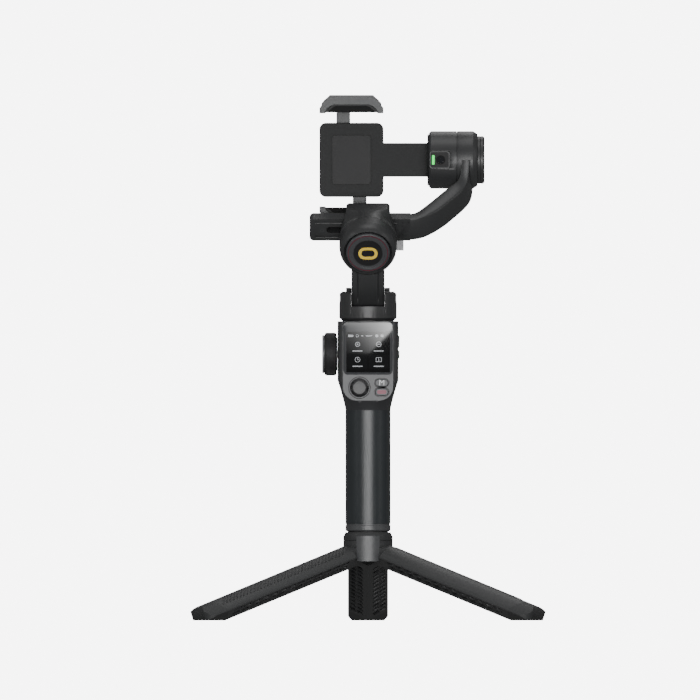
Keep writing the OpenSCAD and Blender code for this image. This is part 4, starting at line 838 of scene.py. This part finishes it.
def makeKeyTrim():
    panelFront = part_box("control_panel")[0].y
    grow = keySet["gap"] + keySet["wall"]
    frames = []
    for nodeName in ("mode_button", "record_button"):
        low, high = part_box(nodeName)
        width, height = high.x - low.x + 2 * grow, high.z - low.z + 2 * grow
        frames.append(frontFrame((low.x + high.x) / 2, (low.z + high.z) / 2, width, height,
                                 height * keySet["roundShare"], keySet["wall"],
                                 panelFront + keySet["sunk"], keySet["rise"] + keySet["sunk"]))
    keyFrames = joinAll(frames, "keyFrames")
    settle(keyFrames, "handle", finishes["blackPlastic"])
    low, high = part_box("record_button")
    record = frontPlate((low.x + high.x) / 2, (low.z + high.z) / 2, keySet["recordWidth"],
                        keySet["recordHeight"], keySet["recordHeight"] * keySet["roundShare"],
                        low.y - keySet["recordProud"], keySet["recordThick"], keySet["recordSteps"])
    record.name = "recordMark"
    settle(record, "record_button", finishes["recordPlastic"])
    low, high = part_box("mode_button")
    deselectAll()
    place = ((low.x + high.x) / 2, low.y + keySet["letterSunk"], (low.z + high.z) / 2)
    bpy.ops.object.text_add(location=place, rotation=(math.radians(90), 0, 0))
    letter = bpy.context.object
    letter.data.body = "M"
    letter.data.size = keySet["letterSize"]
    letter.data.extrude = keySet["letterThick"]
    letter.data.align_x = "CENTER"
    letter.data.align_y = "CENTER"
    bpy.ops.object.convert(target="MESH")
    letter = bpy.context.object
    letter.name = "modeLetter"
    settle(letter, "mode_button", finishes["letterWhite"])


makeKeyTrim()
print("key trim made")

# dark inlays on the fronts of the two jaws

inlaySet = {"low": 0.0202, "high": 0.0142, "height": 0.0061, "line": 0.0010, "slant": 1.2, "proud": 0.00025,
            "corner": 0.0012, "cornerScale": 1.6, "steps": 5, "sunk": 0.0001, "fillProud": 0.0001}


def makeJawInlay(jawName, edgeZ, direction):
    low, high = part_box(jawName)
    middleX = (low.x + high.x) / 2
    for name, shrink, proud, finish in (("Rim", 0, 0, "blackRubber"),
                                        ("Fill", inlaySet["line"], inlaySet["fillProud"], "inlayBlack")):
        height = inlaySet["height"] - shrink
        plate = frontPlate(0, height / 2, 1, height, 0, low.y + inlaySet["sunk"],
                           inlaySet["proud"] + proud + inlaySet["sunk"])
        for vertex in plate.data.vertices:
            atTop = vertex.co.z > height / 2
            half = (inlaySet["high"] if atTop else inlaySet["low"]) - shrink * inlaySet["slant"]
            vertex.co.x = math.copysign(half, vertex.co.x)
        edit(plate, "EDGE")
        selectEdges(plate, lambda along, edge: abs(along.x) < 1e-7 and abs(along.z) < 1e-7
                    and edge.verts[0].co.z > height / 2)
        bpy.ops.mesh.bevel(offset=inlaySet["corner"] * inlaySet["cornerScale"],
                           segments=inlaySet["steps"], affect="EDGES")
        bpy.ops.object.mode_set(mode="OBJECT")
        for vertex in plate.data.vertices:
            vertex.co.x += middleX
            vertex.co.z = edgeZ + direction * vertex.co.z
        if direction < 0:
            edit(plate)
            faceOutward()
        plate.name = jawName.replace("_jaw", "Jaw") + name
        settle(plate, jawName, finishes[finish])


makeJawInlay("upper_jaw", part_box("upper_pad")[0].z, 1)
makeJawInlay("lower_jaw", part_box("lower_pad")[1].z, -1)
print("jaw inlays made")

# side arm: a curved sweep from the slide bar's end to the tilt motor, and that motor's outer half

sweepSet = {
    "start": (0.0326, -0.007003, 0.308177), "end": (0.0786, 0.0197, 0.35375),
    "xShares": (0, 0.06, 0.16, 0.32, 0.47, 0.72, 0.85, 0.93, 0.97, 1),
    "yShares": (0, 0.01, 0.05, 0.17, 0.33, 0.64, 0.8, 0.9, 0.96, 1),
    "zShares": (0, 0.003, 0.02, 0.085, 0.165, 0.36, 0.47, 0.58, 0.72, 1),
    "directions": (0, 4, 14, 27, 34, 39, 45, 62, 80, 90), "turns": (30, 31, 35, 43, 49, 53, 60, 72, 80, 84),
    "darkShares": (1, 1, 1.01, 1.05, 1.08, 1.1, 1.12, 1.06, 0.98, 0.88),
    "lightShares": (1, 1.02, 1.08, 1.16, 1.22, 1.2, 1.05, 0.85, 0.72, 0.72),
    "darkWidth": 0.019, "lightWidth": 0.0096, "corner": 0.0016, "turnShare": 0.3, "perStation": 6,
    "corners": 12,
}
tiltSet = {"y": 0.043, "z": 0.35375, "seam": 0.0684, "width": 0.0157, "radius": 0.0221, "bevel": 0.0034,
           "bevelDrop": 0.0022, "shaftHole": 0.0044, "backWall": 0.003, "seamGap": 0.0004, "edge": 0.0003,
           "clearFrom": 0.0300, "sink": 0.0004, "overrun": 0.0001, "statorGap": 0.0003, "steps": 96,
           "merge": 0.00001, "edgeSteps": 2, "edgeAngle": 25}


def between(values, place):
    index = min(int(place), len(values) - 2)
    share = place - index
    before = values[max(index - 1, 0)]
    first, second = values[index], values[index + 1]
    after = values[min(index + 2, len(values) - 1)]
    return first + 0.5 * share * (second - before + share * (2 * before - 5 * first + 4 * second - after
                                  + share * (3 * (first - second) + after - before)))


def sweepPoint(place, corner):
    shares = [between(sweepSet[name], place) for name in ("xShares", "yShares", "zShares")]
    crease = Vector([a + (b - a) * share for a, b, share in zip(sweepSet["start"], sweepSet["end"], shares)])
    direction = math.radians(between(sweepSet["directions"], place))
    turn = math.radians(between(sweepSet["turns"], place))
    rise = Vector((-math.sin(direction), 0, math.cos(direction)))
    front = Vector((0, -1, 0))
    up = math.cos(turn) * rise + math.sin(turn) * front
    out = math.cos(turn) * front - math.sin(turn) * rise
    w = sweepSet["darkWidth"] * between(sweepSet["darkShares"], place)
    h = sweepSet["lightWidth"] * between(sweepSet["lightShares"], place)
    c, k = sweepSet["corner"], sweepSet["corner"] * sweepSet["turnShare"]
    outline = ((c, 0), (w - c, 0), (w - k, k), (w, c), (w, h - c), (w - k, h - k),
               (w - c, h), (c, h), (k, h - k), (0, h - c), (0, c), (k, k))
    return crease - up * outline[corner][0] - out * outline[corner][1]


def xCylinder(radius, start, end, sides=96):
    bpy.ops.mesh.primitive_cylinder_add(vertices=sides, radius=radius, depth=end - start,
                                        location=((start + end) / 2, tiltSet["y"], tiltSet["z"]),
                                        rotation=(0, math.radians(90), 0))
    applyPlace()
    return bpy.context.object


def cutAway(piece, tool):
    cut = piece.modifiers.new("cut", "BOOLEAN")
    cut.operation = "DIFFERENCE"
    cut.object = tool
    cut.solver = "EXACT"
    pick(piece)
    bpy.ops.object.modifier_apply(modifier="cut")
    bpy.data.objects.remove(tool)


def makeSideArm():
    stations = len(sweepSet["xShares"]) - 1
    cuts = stations * sweepSet["perStation"] - 1
    cornerAngle = math.tau / sweepSet["corners"]
    deselectAll()
    bpy.ops.mesh.primitive_cylinder_add(vertices=sweepSet["corners"], radius=1, depth=1)
    arm = bpy.context.object
    arm.name = "sideArmSweep"
    edit(arm, "EDGE")
    selectEdges(arm, lambda along, edge: abs(along.z) > 0.5)
    bpy.ops.mesh.subdivide(number_cuts=cuts)
    bpy.ops.object.mode_set(mode="OBJECT")
    for vertex in arm.data.vertices:
        corner = round(math.atan2(vertex.co.y, vertex.co.x) / cornerAngle) % sweepSet["corners"]
        vertex.co = sweepPoint((vertex.co.z + 0.5) * stations, corner)
    edit(arm)
    faceOutward()
    seam, radius = tiltSet["seam"], tiltSet["radius"]
    cutAway(arm, xCylinder(radius + tiltSet["seamGap"], tiltSet["clearFrom"], seam))
    cutAway(arm, xCylinder(radius - tiltSet["sink"], seam - tiltSet["overrun"], seam + tiltSet["width"]))
    settle(arm, "balance_bar", finishes["motorPlastic"], 40)
    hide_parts("side_arm")


def makeTiltOuter():
    low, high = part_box("tilt_stator")
    cavity = (high.z - low.z) / 2 + tiltSet["statorGap"]
    seam, end, radius = tiltSet["seam"], tiltSet["seam"] + tiltSet["width"], tiltSet["radius"]
    wall = seam + tiltSet["backWall"]
    hole = tiltSet["shaftHole"]
    profile = ((seam, hole), (seam, radius), (end - tiltSet["bevel"], radius),
               (end, radius - tiltSet["bevelDrop"]), (end, cavity), (wall, cavity), (wall, hole))
    deselectAll()
    bpy.ops.mesh.primitive_circle_add(vertices=len(profile), fill_type="NOTHING")
    motor = bpy.context.object
    motor.name = "tiltMotorOuter"
    for vertex, (x, r) in zip(motor.data.vertices, profile):
        vertex.co = (x, 0, r)
    edit(motor, "VERT")
    bpy.ops.mesh.select_all(action="SELECT")
    bpy.ops.mesh.spin(steps=tiltSet["steps"], angle=math.tau, center=(0, 0, 0), axis=(1, 0, 0))
    bpy.ops.mesh.select_all(action="SELECT")
    bpy.ops.mesh.remove_doubles(threshold=tiltSet["merge"])
    faceOutward()
    roundEdges(motor, tiltSet["edge"], tiltSet["edgeSteps"], tiltSet["edgeAngle"])
    motor.location = (0, tiltSet["y"], tiltSet["z"])
    settle(motor, "balance_bar", finishes["motorPlastic"], 30)
    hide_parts("side_arm")


makeSideArm()
makeTiltOuter()
print("side arm made")

# light frame round the sensor window as a painted highlight on its edge, and the lighter pad on the hub's
# front

sensorFaceSet = {"wall": 0.00055, "rise": 0.0003, "corner": 0.0018, "sunk": 0.0001, "lensRadius": 0.0029,
            "lensProud": 0.00001, "lensThick": 0.0002, "lensSides": 40}
padSet = {"facing": -90, "halfAngle": 27.5, "radius": 0.0190, "proud": 0.00002, "rise": 0.0003,
          "low": 0.0455, "high": 0.0648, "steps": 28, "rows": 6, "cornerFrom": 0.4, "cornerRise": 0.0018}


def makeSensorHighlightAndLens():
    low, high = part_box("sensor_window")
    middleZ = (low.z + high.z) / 2
    # lighter outline round the window: painted highlight on its edge
    edgeHighlight = frontFrame((low.x + high.x) / 2, middleZ, high.x - low.x, high.z - low.z, sensorFaceSet["corner"],
                          sensorFaceSet["wall"], low.y + sensorFaceSet["sunk"], sensorFaceSet["rise"])
    edgeHighlight.name = "sensorFrame"
    settle(edgeHighlight, "phone_clamp", finishes["jawPlastic"])
    lens = frontDisc(sensorSet["lensX"], middleZ, sensorFaceSet["lensRadius"], low.y - sensorFaceSet["lensProud"],
                     sensorFaceSet["lensThick"], sensorFaceSet["lensSides"])
    lens.name = "sensorLensFace"
    settle(lens, "phone_clamp", finishes["darkGlass"])


def makeHubPad():
    tall = padSet["high"] - padSet["low"]
    bpy.ops.mesh.primitive_grid_add(x_subdivisions=padSet["steps"], y_subdivisions=padSet["rows"], size=1)
    pad = bpy.context.object
    pad.name = "hubPad"
    for vertex in pad.data.vertices:
        angle = math.radians(padSet["facing"] + vertex.co.x * 2 * padSet["halfAngle"])
        radius = padSet["radius"] + padSet["proud"]
        cornerShare = max(0, abs(vertex.co.x) - padSet["cornerFrom"]) / (0.5 - padSet["cornerFrom"])
        lift = padSet["cornerRise"] * cornerShare ** 2 * (0.5 - vertex.co.y)
        vertex.co = (radius * math.cos(angle), radius * math.sin(angle),
                     padSet["low"] + (vertex.co.y + 0.5) * tall + lift)
    skinWall = pad.modifiers.new("wall", "SOLIDIFY")
    skinWall.thickness = padSet["rise"]
    skinWall.offset = 1
    pick(pad)
    bpy.ops.object.modifier_apply(modifier="wall")
    edit(pad)
    faceOutward()
    settle(pad, "tripod_hub", finishes["padPlastic"])


makeSensorHighlightAndLens()
makeHubPad()
print("sensor frame and hub pad made")

# camera, floor and lights

cameraSet = {"x": -0.01382, "z": 0.20774, "distance": 2.4, "width": 0.5376, "near": 0.1, "far": 60}
cameraData = bpy.data.cameras.new("photoCamera")
cameraData.type = "ORTHO"
cameraData.ortho_scale = cameraSet["width"]
cameraData.clip_start = cameraSet["near"]
cameraData.clip_end = cameraSet["far"]
camera = bpy.data.objects.new("photoCamera", cameraData)
bpy.context.scene.collection.objects.link(camera)
camera.location = (cameraSet["x"], -cameraSet["distance"], cameraSet["z"])
camera.rotation_euler = (math.radians(90), 0, 0)
bpy.context.scene.camera = camera

floorSet = {"size": 60, "drop": 0.0002, "colour": (0.9, 0.9, 0.9, 1), "roughness": 0.9, "glow": 3.0}
deselectAll()
bpy.ops.mesh.primitive_plane_add(size=floorSet["size"], location=(0, 0, -floorSet["drop"]))
studioFloor = bpy.context.object
studioFloor.name = "studioFloor"
floorMaterial, floorTree, floorShader = newMaterial("floorPaper")
connect(floorTree, floorShader, {
    "Base Color": floorSet["colour"], "Roughness": floorSet["roughness"],
    "Emission Color": (1, 1, 1, 1), "Emission Strength": floorSet["glow"],
})
studioFloor.data.materials.append(floorMaterial)
studioFloor.visible_glossy = False
studioFloor.visible_diffuse = False

worldSet = {"seen": 7.0, "light": 0.17}
world = bpy.data.worlds.new("studio")
bpy.context.scene.world = world
world.use_nodes = True
worldTree = world.node_tree
cameraRay = addNode(worldTree, "LightPath", {}).outputs["Is Camera Ray"]
connect(worldTree, worldTree.nodes["Background"], {
    "Color": (1, 1, 1, 1),
    "Strength": mapBetween(worldTree, cameraRay, worldSet["light"], worldSet["seen"]),
})

lamps = {  # place, aim, size and power
    "frontRightSoftbox": ((0.36, -2.6, 0.3), (0, 0, 0.2), (0.44, 1.5), 13),
    "frontLeftSoftbox": ((-0.36, -2.6, 0.3), (0, 0, 0.2), (0.44, 1.5), 9),
    "lowSoftbox": ((-0.05, -1.5, 0.06), (0, 0, 0.3), (1.4, 0.11), 4),
    "midSoftbox": ((0, -1.5, 0.292), (0, 0, 0.292), (1.2, 0.1), 7),
    "leftSoftbox": ((-1.7, -0.9, 0.9), (0, 0, 0.2), (0.3, 1.2), 4),
    "rightSoftbox": ((1.7, -0.8, 0.7), (0, 0, 0.25), (0.3, 1.2), 3),
    "topSoftbox": ((0.1, -0.2, 1.9), (0, 0, 0.25), (1.2, 0.9), 7),
    "backSoftbox": ((0.2, 1.4, 1.7), (0, 0, 0.2), (0.9, 0.9), 5),
}


def addSoftbox(name, place, turn, size, power):
    lightData = bpy.data.lights.new(name, "AREA")
    lightData.shape = "RECTANGLE"
    lightData.size, lightData.size_y = size
    lightData.energy = power
    light = bpy.data.objects.new(name, lightData)
    bpy.context.scene.collection.objects.link(light)
    light.location = place
    light.rotation_euler = turn
    light.visible_camera = False
    return light


for name, (place, aim, size, power) in lamps.items():
    addSoftbox(name, place, (Vector(aim) - Vector(place)).to_track_quat("-Z", "Y").to_euler(), size, power)

# a small softbox that the screen glass mirrors: brighter to the upper right, cut off along a slant
mirrorSet = {"left": -0.0192, "right": 0.0194, "bottom": 0.2053, "top": 0.2300, "distance": 1.4,
             "power": 0.0125, "rise": 2.2, "fall": 4.4, "fallEase": 4.0, "cut": -0.2043}
wide = mirrorSet["right"] - mirrorSet["left"]
tall = mirrorSet["top"] - mirrorSet["bottom"]
mirrorPlace = ((mirrorSet["left"] + mirrorSet["right"]) / 2, -mirrorSet["distance"],
               (mirrorSet["bottom"] + mirrorSet["top"]) / 2)
glassSoftbox = addSoftbox("glassSoftbox", mirrorPlace, (math.radians(90), 0, 0), (wide, tall),
                          mirrorSet["power"])
glassSoftbox.data.use_nodes = True
boxTree = glassSoftbox.data.node_tree


def boxMath(operation, first, second):
    node = addNode(boxTree, "Math", {0: first, 1: second})
    node.operation = operation
    return node.outputs[0]


spot = addNode(boxTree, "NewGeometry", {}).outputs["Parametric"]
onBox = addNode(boxTree, "SeparateXYZ", {"Vector": spot})
across, upwards = onBox.outputs["X"], onBox.outputs["Y"]
fall = boxMath("SUBTRACT", mirrorSet["fall"], boxMath("MULTIPLY", across, mirrorSet["fallEase"]))
below = boxMath("SUBTRACT", 1, upwards)
exponent = boxMath("SUBTRACT", boxMath("MULTIPLY", across, mirrorSet["rise"]),
                   boxMath("MULTIPLY", fall, below))
slantSide = boxMath("SUBTRACT", boxMath("MULTIPLY", across, wide), boxMath("MULTIPLY", upwards, tall))
kept = boxMath("LESS_THAN", slantSide, mirrorSet["cut"] - mirrorSet["left"] + mirrorSet["bottom"])
boxTree.links.new(boxMath("MULTIPLY", boxMath("POWER", 2, exponent), kept),
                  boxTree.nodes["Emission"].inputs["Strength"])
print("studio made")
